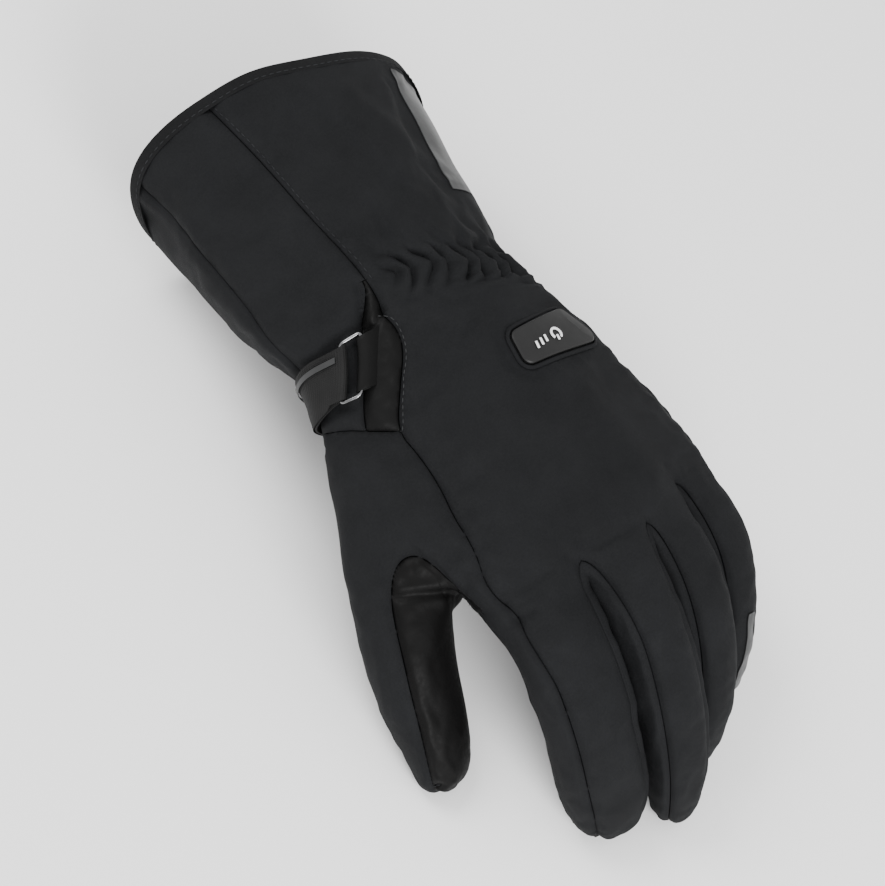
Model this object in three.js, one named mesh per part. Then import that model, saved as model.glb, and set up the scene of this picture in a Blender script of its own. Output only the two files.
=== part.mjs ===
// A left-hand heated gauntlet glove, lying palm down, in millimetres with +Z up.
// The skin is one control cage of quads: twenty columns run from the cuff to the knuckles, eight run
// along each finger and ten along the thumb. The cage is smoothed once and cut along its seams into
// panels, and each panel gets a padded wall of its own.
// Hand axes before the glove is laid down: x to the thumb side, y to the fingertips, z off the back.
import * as THREE from "three";

// Driving sizes
const gauntletLength = 98;
const rimWidth = 129;
const rimDepth = 82;
const rimBow = 12;
const rimSway = 4;
const rimSlant = 18;
const gauntletDrop = 9;
const wristWidth = 90;
const wristDepth = 58;
const handLength = 117;
const palmWidth = 114;
const palmDepth = 46;
const palmSway = 11;
const thumbMound = 24;
const thumbRootPull = 13;
const fingerWidth = 30;
const fingerDepth = 28;
const indexLength = 106;
const middleLength = 114;
const ringLength = 106;
const littleLength = 92;
const thumbLength = 118;
const thumbWidth = 38;
const thumbDepth = 32;
const wall = 3;
const seamGap = 0.4;
const restPitch = 6.1;
const restRoll = 0.5;
const restPress = 1.5;
const pieceGap = 0.3;
const bindingLength = 4.5;
const bindingProud = 0.8;
const gatherDepth = 2.2;
const gatherCount = 9;
const wrapGap = 0.7;
const thumbSwell = 1;
const strapWidth = 22;
const strapThickness = 1.3;
const strapLength = 62;
const strapSkew = 4.5;
const tabThickness = 1;
const tabLength = 7.5;
const wireThickness = 1.5;
const ringDepth = 8.5;
const ringCorner = 1.8;
const ringPlace = { row: 6.75, column: 19.38 };
const buttonLength = 45;
const buttonWidth = 21;
const buttonCorner = 6;
const buttonPlace = { row: 8.02, column: 5.7 };
const frameWidth = 2.2;
const frameThickness = 1;
const padThickness = 1.8;
const markThickness = 0.4;
const markStroke = 0.9;
const markLean = 20;
const levelLength = 3;
const powerRadius = 2.3;
const powerGap = 90;
const powerPlace = 1;
const trimThickness = 0.4;
const layersPart = 1;
const layersMeet = 9;
const skewReach = 16;
const lineInset = 3;
const lineWidth = 2.4;
const padShoulder = 2.5;
const padSpine = 5;
const padBevel = 0.5;
const levelPitch = 2.6;
const levelMiddle = -7.6;
const levelDrop = 1.8;
const powerDrop = 0.8;

// Helpers
const radians = THREE.MathUtils.degToRad;
const mix = THREE.MathUtils.lerp;
const smooth = THREE.MathUtils.smoothstep;
const vector = (x, y, z) => new THREE.Vector3(x, y, z);

// Columns round the body, from the thumb side over the back to the palm. turn: degrees round the
// wrist and gauntlet; across, rise: shares of the half width and half depth at the knuckles;
// reach: share of the hand's length at the knuckles. Turns over the back are spread from the seam.
const columns = [
  { name: "seam", across: 0.96, rise: -0.06, reach: 0.94, mound: 0.15 },
  { name: "backIndex", across: 0.64, rise: 0.46, reach: 0.98 },
  { name: "backSlot1", across: 0.35, rise: 0.3, reach: 1.0 },
  { name: "backMiddle", across: 0.04, rise: 0.7, reach: 1.0 },
  { name: "backSlot2", across: -0.22, rise: 0.43, reach: 0.985 },
  { name: "backRing", across: -0.46, rise: 0.52, reach: 0.95 },
  { name: "backSlot3", across: -0.67, rise: 0.12, reach: 0.9 },
  { name: "backLittle", across: -0.89, rise: 0.05, reach: 0.87 },
  { name: "backOuter", across: -1.02, rise: -0.32, reach: 0.85 },
  { name: "outerSide", turn: 180, across: -1.04, rise: -0.72, reach: 0.85 },
  { name: "palmOuter", turn: 212, across: -0.93, rise: -1.08, reach: 0.86 },
  { name: "palmLittle", turn: 232, across: -0.74, rise: -1.16, reach: 0.89 },
  { name: "palmSlot3", turn: 246, across: -0.58, rise: -0.78, reach: 0.93 },
  { name: "palmRing", turn: 258, across: -0.39, rise: -0.84, reach: 0.97 },
  { name: "palmSlot2", turn: 270, across: -0.19, rise: -0.54, reach: 1.0 },
  { name: "palmMiddle", turn: 282, across: 0.03, rise: -0.68, reach: 1.01 },
  { name: "palmSlot1", turn: 294, across: 0.3, rise: -0.6, reach: 1.01 },
  { name: "palmIndex", turn: 308, cuffTurn: 330, across: 0.53, rise: -0.96, reach: 0.98, mound: 0.7 },
  { name: "palmThumb", turn: 330, cuffTurn: 378, across: 0.9, rise: -0.8, reach: 0.93, mound: 1.0 },
  { name: "thumbSide", turn: 367, cuffTurn: 402, across: 1.0, rise: -0.42, reach: 0.92, mound: 0.8 },
];
const at = Object.fromEntries(columns.map((column, i) => [column.name, i]));
const outerTurn = 150;

// Rows round the body. along: share of the gauntlet's or the hand's length; flare: from the wrist's
// size to the rim's, or to the palm's; flat: from the wrist's oval to the knuckles' outline;
// seam: degrees round the oval where the back panel's thumb-side seam runs; slant: of the rim and wrist;
// cuff: towards the columns' cuff turns; mound, pull: the thumb's mound and how far it is pulled back.
const rows = [
  { name: "rim", along: -1.0, flare: 1.0, seam: 62, slant: 1, sway: 1, cuff: 1 },
  { name: "rimStitch", along: -0.92, flare: 0.96, seam: 63, slant: 1, sway: 0.9, cuff: 1 },
  { name: "upper", along: -0.7, flare: 0.81, seam: 66, slant: 1, sway: 0.5, cuff: 1 },
  { name: "middle", along: -0.47, flare: 0.66, seam: 70, slant: 0.95, sway: -0.7, cuff: 1.12, mound: 0.04 },
  { name: "lower", along: -0.3, flare: 0.46, seam: 73, slant: 0.9, sway: -0.9, cuff: 1.12, mound: 0.1 },
  { name: "gatherTop", along: -0.17, flare: 0.27, seam: 75, slant: 0.8, sway: -1.0, cuff: 0.95, mound: 0.14 },
  { name: "gatherFoot", along: -0.03, flare: 0.1, seam: 72, slant: 0.7, sway: -0.7, cuff: 0.8, mound: 0.2 },
  { name: "strapFoot", along: 0.13, flare: 0.35, flat: 0.08, seam: 54, slant: 0.35, sway: 0.35, cuff: 0.35,
    mound: 0.5, pull: 0.4 },
  { name: "patchFoot", along: 0.29, flare: 0.68, flat: 0.2, seam: 30, slant: 0.1, sway: 0.75, mound: 0.8,
    pull: 1.4 },
  { name: "thumbLow", along: 0.45, flare: 0.85, flat: 0.36, seam: 26, sway: 0.95, mound: 0.85, pull: 0.5 },
  { name: "thumbHigh", along: 0.64, flare: 0.96, flat: 0.56, seam: 26, sway: 1, mound: 0.7 },
  { name: "thumbWeb", along: 0.86, flare: 1, flat: 0.8, seam: 22, sway: 1, mound: 0.4 },
  { name: "knuckles", along: 1.0, flare: 1, flat: 1, seam: 20, sway: 1 },
];
const rowAt = Object.fromEntries(rows.map((row, i) => [row.name, i]));

// A smoothed closed ring shrinks, so its control ring is made larger by this much.
const ringSwell = (count) => 6 / (4 + 2 * Math.cos((2 * Math.PI) / count));

function bodyRing(row) {
  const swell = ringSwell(columns.length);
  const { flat = 0, slant = 0, cuff = 0, mound = 0, pull = 0 } = row;
  const onCuff = row.along < 0;
  const width = mix(wristWidth, onCuff ? rimWidth : palmWidth, row.flare);
  const depth = mix(wristDepth, onCuff ? rimDepth : palmDepth, row.flare);
  return columns.map((column, i) => {
    const handTurn = column.turn ?? mix(row.seam, outerTurn, i / at.backOuter);
    const turn = radians(mix(handTurn, column.cuffTurn ?? handTurn, cuff));
    const across = mix(Math.cos(turn) * swell, column.across, flat) * (width / 2);
    const z = mix(Math.sin(turn) * swell, column.rise, flat) * (depth / 2);
    const moundShare = column.mound ?? 0;
    const x = across + thumbMound * mound * moundShare - row.sway * (onCuff ? rimSway : palmSway);
    const slanted = rimSlant * slant * (across / width);
    if (onCuff) {
      const bow = rimBow * smooth(-row.along, 0.2, 1) * (z / (depth / 2));
      return vector(x, row.along * gauntletLength - bow - slanted, z - gauntletDrop * row.along ** 2);
    }
    const pulled = thumbRootPull * pull * moundShare;
    return vector(x, row.along * handLength * mix(1, column.reach, flat) - slanted - pulled, z);
  });
}

// Fingers. wide: share of the finger width; tilt: degrees that the back of the finger leans
// to the thumb side; yaw: degrees towards the thumb; bend: degrees at the knuckle; curl: added along it.
const fingers = [
  { name: "index", length: indexLength, wide: 1.15, tilt: 6, yaw: 6.4, bend: 24, curl: 46 },
  { name: "middle", length: middleLength, wide: 0.98, tilt: 0, yaw: 5.6, bend: 24, curl: 50 },
  { name: "ring", length: ringLength, wide: 0.92, tilt: -10, yaw: 0.8, bend: 28, curl: 50 },
  { name: "little", length: littleLength, wide: 0.87, tilt: -20, yaw: -5.6, bend: 28, curl: 46 },
];
const fingerRows = [
  { along: 0.16, width: 1.0, depth: 1.02 },
  { along: 0.34, width: 1.0, depth: 1.0 },
  { along: 0.52, width: 0.98, depth: 0.96 },
  { along: 0.7, width: 0.95, depth: 0.9 },
  { along: 0.87, width: 0.87, depth: 0.78 },
  { along: 0.975, width: 0.62, depth: 0.52 },
];
// The eight control points round a finger, from the thumb side's back seam: shares of the half sizes.
const fingerRound = [
  { across: 0.8, rise: 0.8 },
  { across: 0.0, rise: 1.12 },
  { across: -0.8, rise: 0.8 },
  { across: -1.0, rise: 0.0 },
  { across: -0.8, rise: -0.8 },
  { across: 0.0, rise: -1.12 },
  { across: 0.8, rise: -0.8 },
  { across: 1.0, rise: 0.0 },
];

function fingerRings(finger, base) {
  const tilt = radians(finger.tilt);
  const yaw = radians(finger.yaw);
  const up = vector(Math.sin(tilt), 0, Math.cos(tilt));
  const flat = vector(Math.cos(tilt), 0, -Math.sin(tilt));
  const ahead = vector(0, Math.cos(yaw), 0).addScaledVector(flat, Math.sin(yaw));
  const side = flat.clone().multiplyScalar(Math.cos(yaw)).add(vector(0, -Math.sin(yaw), 0));
  const pitchAt = (share) =>
    radians(finger.bend * smooth(share, -0.2, 0.2) + finger.curl * smooth(share, 0.1, 0.95));
  const point = base.clone();
  const steps = 60;
  const rings = [];
  for (let i = 0; i < steps; i++) {
    const share = (i + 0.5) / steps;
    const pitch = pitchAt(share);
    const forward = ahead.clone().multiplyScalar(Math.cos(pitch)).addScaledVector(up, -Math.sin(pitch));
    const row = fingerRows[rings.length];
    if (row && share > row.along) {
      const above = ahead.clone().multiplyScalar(Math.sin(pitch)).addScaledVector(up, Math.cos(pitch));
      rings.push(
        fingerRound.map(({ across, rise }) =>
          point
            .clone()
            .addScaledVector(side, (across * row.width * finger.wide * fingerWidth) / 2)
            .addScaledVector(above, (rise * row.depth * fingerDepth) / 2)
        )
      );
    }
    point.addScaledVector(forward, finger.length / steps);
  }
  return { rings, tip: point };
}

// Thumb. Angles in degrees at its root and its tip: spread from the hand's line to the thumb side,
// drop towards the palm.
const thumb = { root: { across: 0.92, along: 0.4, rise: -0.3 }, spread: [19, 2], drop: [26, 42], twist: 8 };
const thumbRows = [
  { along: 0.48, width: 1.04, depth: 1.02, blend: 0.36 },
  { along: 0.48, width: 1.04, depth: 1.02, blend: 0.7 },
  { along: 0.5, width: 1.02, depth: 1.0, blend: 1 },
  { along: 0.68, width: 0.93, depth: 0.95, blend: 1 },
  { along: 0.84, width: 0.8, depth: 0.83, blend: 1 },
  { along: 0.965, width: 0.58, depth: 0.58, blend: 1 },
];
const thumbTurns = [150, 118, 80, 36, 0, -36, -72, -108, -144, 180];

// The first rings lead from the slanting hole in the body to the round section of the thumb.
function thumbRings(hole) {
  const root = thumb.root;
  const start = vector((root.across * palmWidth) / 2, root.along * handLength, (root.rise * palmDepth) / 2);
  const steps = 60;
  const swell = ringSwell(thumbTurns.length);
  const headingAt = (share) => {
    const spread = radians(mix(...thumb.spread, share));
    const drop = radians(mix(...thumb.drop, share));
    return vector(Math.sin(spread) * Math.cos(drop), Math.cos(spread) * Math.cos(drop), -Math.sin(drop));
  };
  const pointAt = (share) => {
    const point = start.clone();
    const count = Math.round(steps * share);
    for (let i = 0; i < count; i++) {
      point.addScaledVector(headingAt(((i + 0.5) / count) * share), (thumbLength * share) / count);
    }
    return point;
  };
  const rings = thumbRows.map((row) => {
    const forward = headingAt(row.along);
    const level = vector(-forward.y, forward.x, 0).normalize();
    const inward = level.applyAxisAngle(forward, radians(thumb.twist));
    const back = vector(0, 0, 0).crossVectors(forward, inward);
    const middle = pointAt(row.along);
    return thumbTurns.map((turn, i) => {
      const across = (Math.cos(radians(turn)) * swell * row.width * thumbWidth) / 2;
      const rise = (Math.sin(radians(turn)) * swell * row.depth * thumbDepth) / 2;
      const round = middle.clone().addScaledVector(inward, across).addScaledVector(back, rise);
      return hole[i].clone().lerp(round, row.blend);
    });
  });
  return { rings, tip: pointAt(1) };
}

// The control cage: points, and quads that each carry the name of their panel.
function buildCage() {
  const points = [];
  const faces = [];
  const add = (point) => points.push(point) - 1;
  const quad = (panel, ...corners) => faces.push({ panel, corners });
  const count = columns.length;
  const body = rows.map((row) => bodyRing(row).map(add));

  const inThumbHole = (r, c) =>
    r >= rowAt.patchFoot && r < rowAt.thumbWeb && (c === at.palmIndex || c === at.palmThumb);
  const panelOf = (r, c) => {
    const onBack = c < at.backOuter;
    const onOuterSide = c === at.backOuter || c === at.outerSide;
    const onThumbSide = c === at.palmThumb || c === at.thumbSide;
    if (r < rowAt.gatherTop) {
      if (onThumbSide) return "gauntlet_side";
      return onBack || c === at.backOuter ? "gauntlet_back" : "gauntlet_palm";
    }
    if (r < rowAt.patchFoot && onThumbSide) return "wrist_patch";
    if (r < rowAt.gatherFoot) return onBack || c === at.backOuter ? "elastic_gathers" : "gauntlet_palm";
    if (onBack) return "hand_back";
    if (onOuterSide) return "outer_side";
    return onThumbSide ? "thumb_back" : "palm";
  };
  for (let r = 0; r + 1 < rows.length; r++) {
    for (let c = 0; c < count; c++) {
      const next = (c + 1) % count;
      if (inThumbHole(r, c)) continue;
      quad(panelOf(r, c), body[r][c], body[r + 1][c], body[r + 1][next], body[r][next]);
    }
  }

  // Rings that follow one another out from an edge of the body, and the cap that closes them.
  const tube = (edge, rings, tip, panelAt, capPanels) => {
    const around = edge.length;
    const all = [edge, ...rings.map((ring) => ring.map(add))];
    for (let r = 0; r + 1 < all.length; r++) {
      for (let k = 0; k < around; k++) {
        const next = (k + 1) % around;
        quad(panelAt(r, k), all[r][k], all[r + 1][k], all[r + 1][next], all[r][next]);
      }
    }
    const last = all[all.length - 1];
    const end = add(tip);
    for (let k = 1; k < around; k += 2) {
      quad(capPanels[(k - 1) / 2], end, last[(k + 1) % around], last[k], last[k - 1]);
    }
    return all;
  };

  const knuckles = body[rowAt.knuckles];
  const web = (back, front) => {
    const middle = points[knuckles[at[back]]].clone().lerp(points[knuckles[at[front]]], 0.5);
    return add(middle.add(vector(0, handLength * 0.03, 0)));
  };
  const webs = [1, 2, 3].map((i) => web(`backSlot${i}`, `palmSlot${i}`));
  const k = (...names) => names.map((name) => knuckles[at[name]]);
  const edges = [
    [
      ...k("seam", "backIndex", "backSlot1"),
      webs[0],
      ...k("palmSlot1", "palmIndex", "palmThumb", "thumbSide"),
    ],
    [
      ...k("backSlot1", "backMiddle", "backSlot2"),
      webs[1],
      ...k("palmSlot2", "palmMiddle", "palmSlot1"),
      webs[0],
    ],
    [
      ...k("backSlot2", "backRing", "backSlot3"),
      webs[2],
      ...k("palmSlot3", "palmRing", "palmSlot2"),
      webs[1],
    ],
    [
      ...k("backSlot3", "backLittle", "backOuter", "outerSide", "palmOuter", "palmLittle", "palmSlot3"),
      webs[2],
    ],
  ];
  const gussets = [
    "thumb_back",
    "gusset_index_middle",
    "gusset_middle_ring",
    "gusset_ring_little",
    "outer_side",
  ];
  const fingerGrids = fingers.map((finger, i) => {
    const base = vector(0, 0, 0);
    edges[i].forEach((index) => base.addScaledVector(points[index], 1 / edges[i].length));
    const { rings, tip } = fingerRings(finger, base);
    const [near, far] = [gussets[i], gussets[i + 1]];
    const panels = ["hand_back", "hand_back", far, far, "palm", "palm", near, near];
    return tube(edges[i], rings, tip, (r, k) => panels[k], ["hand_back", "hand_back", "palm", "palm"]);
  });

  const hole = [
    ...["patchFoot", "thumbLow", "thumbHigh", "thumbWeb"].map((name) => body[rowAt[name]][at.thumbSide]),
    body[rowAt.thumbWeb][at.palmThumb],
    ...["thumbWeb", "thumbHigh", "thumbLow", "patchFoot"].map((name) => body[rowAt[name]][at.palmIndex]),
    body[rowAt.patchFoot][at.palmThumb],
  ];
  const { rings, tip } = thumbRings(hole.map((index) => points[index]));
  const onThumbBack = (r, k) => k < 1 || k > 7 || (r < 1 && k < 3);
  const thumbPanel = (r, k) => (onThumbBack(r, k) ? "thumb_back" : "thumb_palm");
  const thumbGrid = tube(hole, rings, tip, thumbPanel, [...Array(4).fill("thumb_palm"), "thumb_back"]);
  // Over the hole's near edge the skin runs on into the thumb's first ring.
  body[rowAt.thumbLow][at.palmThumb] = thumbGrid[1][9];
  return { points, faces, body, fingerGrids };
}

// One Catmull-Clark step.
function smoothCage({ points, faces }) {
  const edgeOf = new Map();
  const key = (a, b) => (a < b ? `${a},${b}` : `${b},${a}`);
  faces.forEach((face, f) => {
    face.corners.forEach((a, i) => {
      const b = face.corners[(i + 1) % 4];
      if (!edgeOf.has(key(a, b))) edgeOf.set(key(a, b), { ends: [a, b], faces: [] });
      edgeOf.get(key(a, b)).faces.push(f);
    });
  });
  const middle = (list) => {
    return list.reduce((sum, point) => sum.add(point), vector(0, 0, 0)).divideScalar(list.length);
  };
  const facePoints = faces.map((face) => middle(face.corners.map((c) => points[c])));
  const around = points.map(() => ({ faces: [], ends: [], borders: [] }));
  faces.forEach((face, f) => face.corners.forEach((c) => around[c].faces.push(facePoints[f])));
  for (const edge of edgeOf.values()) {
    const [a, b] = edge.ends.map((end) => points[end]);
    edge.border = edge.faces.length === 1;
    const beside = edge.border ? [] : edge.faces.map((f) => facePoints[f]);
    edge.point = middle([a, b, ...beside]);
    edge.ends.forEach((end, i) => {
      around[end].ends.push(points[edge.ends[1 - i]]);
      if (edge.border) around[end].borders.push(points[edge.ends[1 - i]]);
    });
  }
  const moved = points.map((point, i) => {
    const { faces: near, ends, borders } = around[i];
    if (borders.length) return middle(borders).add(point.clone().multiplyScalar(3)).divideScalar(4);
    const n = near.length;
    if (n === 0) return point.clone();
    const edgeMiddle = middle(ends).add(point).divideScalar(2);
    return middle(near).add(edgeMiddle.multiplyScalar(2)).addScaledVector(point, n - 3).divideScalar(n);
  });
  const next = [...moved, ...facePoints];
  for (const edge of edgeOf.values()) edge.index = next.push(edge.point) - 1;
  const finer = faces.flatMap((face, f) =>
    face.corners.map((corner, i) => {
      const after = edgeOf.get(key(corner, face.corners[(i + 1) % 4])).index;
      const before = edgeOf.get(key(face.corners[(i + 3) % 4], corner)).index;
      return { panel: face.panel, corners: [corner, after, points.length + f, before] };
    })
  );
  return { points: next, faces: finer };
}

// Joins every point of the mesh to the faces and edges that meet there.
function neighboursOf({ points, faces }) {
  const around = points.map(() => ({ ends: new Set(), across: [], borders: [], faces: [] }));
  const directed = new Set();
  for (const [f, { corners }] of faces.entries()) {
    for (let i = 0; i < 4; i++) {
      const [a, b, c] = [corners[i], corners[(i + 1) % 4], corners[(i + 2) % 4]];
      directed.add(`${a},${b}`);
      around[a].ends.add(b);
      around[b].ends.add(a);
      around[a].across.push(c);
      around[a].faces.push(f);
    }
  }
  around.forEach((near, a) => {
    near.borders = [...near.ends].filter((b) => {
      return !directed.has(`${a},${b}`) || !directed.has(`${b},${a}`);
    });
  });
  return around;
}

// The skin: the smoothed cage's points moved to the surface they tend to, with a normal at each.
function buildSkin(cage) {
  const mesh = smoothCage(cage);
  const around = neighboursOf(mesh);
  const sum = (list) => list.reduce((total, i) => total.add(mesh.points[i]), vector(0, 0, 0));
  const points = mesh.points.map((point, i) => {
    const { ends, across, borders } = around[i];
    if (across.length === 0) return point.clone();
    if (borders.length) return sum(borders).addScaledVector(point, 4).divideScalar(6);
    const n = ends.size;
    const total = sum([...ends]).multiplyScalar(4).add(sum(across));
    return total.addScaledVector(point, n * n).divideScalar(n * (n + 5));
  });
  return { points, faces: mesh.faces, around };
}

function skinNormals({ points, faces, around }) {
  const flat = faces.map(({ corners: [a, b, c, d] }) => {
    const across = points[c].clone().sub(points[a]);
    return across.cross(points[d].clone().sub(points[b]));
  });
  return around.map((near) => {
    return near.faces.reduce((total, f) => total.add(flat[f]), vector(0, 0, 0)).normalize();
  });
}

// The cage is turned to lie palm down and set on the floor, and the skin is pressed flat where it rests.
const bindingDepth = pieceGap + bindingProud;
const turn = new THREE.Matrix4().makeRotationX(radians(restPitch)).multiply(
  new THREE.Matrix4().makeRotationY(radians(restRoll))
);
const cage = buildCage();
cage.points.forEach((point) => point.applyMatrix4(turn));
const skin = buildSkin(cage);
const floorOf = skin.around.map((near) => {
  return near.faces.some((f) => skin.faces[f].panel.startsWith("gauntlet")) ? bindingDepth : 0;
});
const used = skin.points.map((point, i) => i).filter((i) => skin.around[i].faces.length);
const lowest = Math.min(...used.map((i) => skin.points[i].z - floorOf[i]));
for (const point of [...cage.points, ...skin.points]) point.z -= lowest + restPress;
used.forEach((i) => {
  skin.points[i].z = Math.max(skin.points[i].z, floorOf[i]);
});
skin.normals = skinNormals(skin);

// A point on the smooth surface over a grid of cage points, at row r and column c, both counted in
// cage rows and columns. Columns go round; rows past the open edge go on straight.
function splineWeights(t) {
  const value = [(1 - t) ** 3, 3 * t ** 3 - 6 * t ** 2 + 4, -3 * t ** 3 + 3 * t ** 2 + 3 * t + 1, t ** 3];
  const slope = [-((1 - t) ** 2), 3 * t ** 2 - 4 * t, -3 * t ** 2 + 2 * t + 1, t ** 2];
  return { value: value.map((w) => w / 6), slope: slope.map((w) => w / 2) };
}

function surfaceAt(grid, r, c) {
  const row = Math.min(Math.max(Math.floor(r), 0), grid.length - 2);
  const column = Math.floor(c);
  const alongWeights = splineWeights(r - row);
  const roundWeights = splineWeights(c - column);
  const count = grid[0].length;
  const controlAt = (i, j) => {
    const wrapped = (((column + j) % count) + count) % count;
    if (row + i >= 0) return cage.points[grid[row + i][wrapped]];
    return cage.points[grid[0][wrapped]].clone().multiplyScalar(2).sub(cage.points[grid[1][wrapped]]);
  };
  const point = vector(0, 0, 0);
  const along = vector(0, 0, 0);
  const round = vector(0, 0, 0);
  for (let i = 0; i < 4; i++) {
    for (let j = 0; j < 4; j++) {
      const control = controlAt(i - 1, j - 1);
      point.addScaledVector(control, alongWeights.value[i] * roundWeights.value[j]);
      along.addScaledVector(control, alongWeights.slope[i] * roundWeights.value[j]);
      round.addScaledVector(control, alongWeights.value[i] * roundWeights.slope[j]);
    }
  }
  return { point, along, round, normal: along.clone().cross(round).normalize() };
}

const raisedAt = (grid, r, c, height) => {
  const { point, normal } = surfaceAt(grid, r, c);
  return point.addScaledVector(normal, height);
};

// Closed solids
function solid(points, triangles) {
  let volume = 0;
  for (const [a, b, c] of triangles) volume += points[a].dot(points[b].clone().cross(points[c]));
  const geometry = new THREE.BufferGeometry();
  geometry.setAttribute("position", new THREE.Float32BufferAttribute(points.flatMap((p) => p.toArray()), 3));
  geometry.setIndex(triangles.flatMap(([a, b, c]) => (volume < 0 ? [a, c, b] : [a, b, c])));
  geometry.computeVertexNormals();
  return geometry;
}

// A panel of the skin with its wall: pulled back from its seams by half the seam gap.
function panelSolid(name) {
  const quads = skin.faces.filter((face) => face.panel === name).map((face) => face.corners);
  const directed = new Set(quads.flatMap((q) => q.map((a, i) => `${a},${q[(i + 1) % 4]}`)));
  const borders = quads.flatMap((q) => q.map((a, i) => [a, q[(i + 1) % 4]]));
  const rim = borders.filter(([a, b]) => !directed.has(`${b},${a}`));
  const inward = new Map();
  for (const [a, b] of rim) {
    for (const i of [a, b]) {
      const side = skin.normals[i].clone().cross(skin.points[b].clone().sub(skin.points[a])).normalize();
      if (!inward.has(i)) inward.set(i, []);
      inward.get(i).push(side);
    }
  }
  const ids = [...new Set(quads.flat())];
  const place = new Map(ids.map((id, i) => [id, i]));
  const outer = ids.map((id) => {
    const point = skin.points[id].clone();
    if (!inward.has(id)) return point;
    const [one, two] = inward.get(id);
    const pull = one.clone().add(two).divideScalar(Math.max(1 + one.dot(two), 0.4));
    return point.addScaledVector(pull, seamGap / 2);
  });
  const inner = ids.map((id, i) => outer[i].clone().addScaledVector(skin.normals[id], -wall));
  const triangles = [];
  for (const corners of quads) {
    const [a, b, c, d] = corners.map((id) => place.get(id));
    const first = Math.min(...corners);
    const onFirst = first === corners[0] || first === corners[2];
    const cut = onFirst ? [[a, b, c], [a, c, d]] : [[a, b, d], [b, c, d]];
    for (const [i, j, k] of cut) triangles.push([i, j, k], [i + ids.length, k + ids.length, j + ids.length]);
  }
  for (const [from, to] of rim) {
    const [a, b] = [place.get(from), place.get(to)];
    const [c, d] = [b + ids.length, a + ids.length];
    triangles.push(...(from < to ? [[a, c, b], [a, d, c]] : [[a, d, b], [b, d, c]]));
  }
  return solid([...outer, ...inner], triangles);
}

// Rings of points joined one to the next; the last joins the first, or both ends get a cap.
function loft(rings, cap) {
  const around = rings[0].length;
  const triangles = [];
  const spans = cap ? rings.length - 1 : rings.length;
  for (let r = 0; r < spans; r++) {
    const next = (r + 1) % rings.length;
    for (let k = 0; k < around; k++) {
      const [a, b] = [r * around + k, r * around + ((k + 1) % around)];
      const [c, d] = [next * around + ((k + 1) % around), next * around + k];
      triangles.push([a, b, c], [a, c, d]);
    }
  }
  const end = (rings.length - 1) * around;
  for (const [a, b, c] of cap ?? []) triangles.push([a, c, b], [end + a, end + b, end + c]);
  return solid(rings.flat(), triangles);
}

// Triangles that fill an outline, facing the way it turns.
function capOf(outline) {
  const triangles = THREE.ShapeUtils.triangulateShape(outline, []);
  return THREE.ShapeUtils.area(outline) < 0 ? triangles.map(([a, b, c]) => [a, c, b]) : triangles;
}

const steps = (count) => Array.from({ length: count + 1 }, (_, i) => i / count);

// Triangles across a thin outline whose second half comes back along its first.
function stripCap(count) {
  const last = count - 1;
  return steps(last).slice(1).flatMap((_, i) => {
    return [[i, i + 1, 2 * last - i], [i, 2 * last - i, 2 * last + 1 - i]];
  });
}

// A sheet between two heights over a stretch of the surface. placeAt gives row and column for the
// two shares (u, v) of the sheet; topAt and footAt give its heights.
function sheetSolid(grid, us, vs, placeAt, topAt, footAt) {
  const rings = us.map((u) => {
    const at = vs.map((v) => ({ v, place: placeAt(u, v) }));
    const top = at.map(({ v, place }) => raisedAt(grid, place.r, place.c, topAt(u, v)));
    const foot = at.map(({ v, place }) => raisedAt(grid, place.r, place.c, footAt(u, v)));
    return [...top, ...foot.reverse()];
  });
  return loft(rings, stripCap(vs.length));
}

// Column reached from c by going the given distance round the body in row r.
function goRound(r, c, distance) {
  const parts = 12;
  let column = c;
  for (let i = 0; i < parts; i++) {
    column += distance / parts / surfaceAt(cage.body, r, column).round.length();
  }
  return column;
}

// A closed outline with rounded corners, drawn inside the given corners by the inset.
function roundedOutline(corners, radius, inset) {
  const count = corners.length;
  const arc = Math.max(radius - inset, 0.3);
  const bends = corners.map((corner, i) => {
    const before = corner.clone().sub(corners[(i + count - 1) % count]).normalize();
    const after = corners[(i + 1) % count].clone().sub(corner).normalize();
    const [one, two] = [before, after].map((edge) => new THREE.Vector2(-edge.y, edge.x));
    const spread = one.clone().add(two).divideScalar(1 + one.dot(two));
    const middle = corner.clone().addScaledVector(spread, inset + arc);
    return steps(4).map((share) => {
      const out = one.clone().lerp(two, share).normalize();
      return middle.clone().addScaledVector(out, -arc);
    });
  });
  return bends.flatMap((bend, i) => {
    const [from, to] = [bend[bend.length - 1], bends[(i + 1) % count][0]];
    return [...bend, ...[0.2, 0.4, 0.6, 0.8].map((share) => from.clone().lerp(to, share))];
  });
}

// A body whose section goes round an outline: one loop of points for each inset and height.
function outlineLoft(corners, radius, section, place, cap) {
  const loops = section.map(({ inset, height }) => {
    return roundedOutline(corners, radius, inset).map((spot) => place(spot.x, spot.y, height));
  });
  return loft(loops, cap);
}

// Materials
const paint = (name, color, roughness, metalness = 0) => {
  return new THREE.MeshStandardMaterial({ name, color, roughness, metalness });
};
const cloth = paint("softshell", "#2b2d31", 0.85);
const hide = paint("leather", "#211f1d", 0.6);
const black = paint("black_patch", "#191919", 0.6);
const elastic = paint("elastic_cloth", "#26282b", 0.85);
const webbing = paint("webbing", "#2a2a29", 0.8);
const steel = paint("ring_steel", "#b9bbbd", 0.3, 1);
const rubber = paint("button_rubber", "#1c1c1d", 0.55);
const print = paint("white_print", "#e4e4e4", 0.5);
const reflective = paint("reflective", "#9a9c9e", 0.4);

const pieces = [];
const addPiece = (name, material, geometry) => pieces.push({ name, material, geometry });

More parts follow.
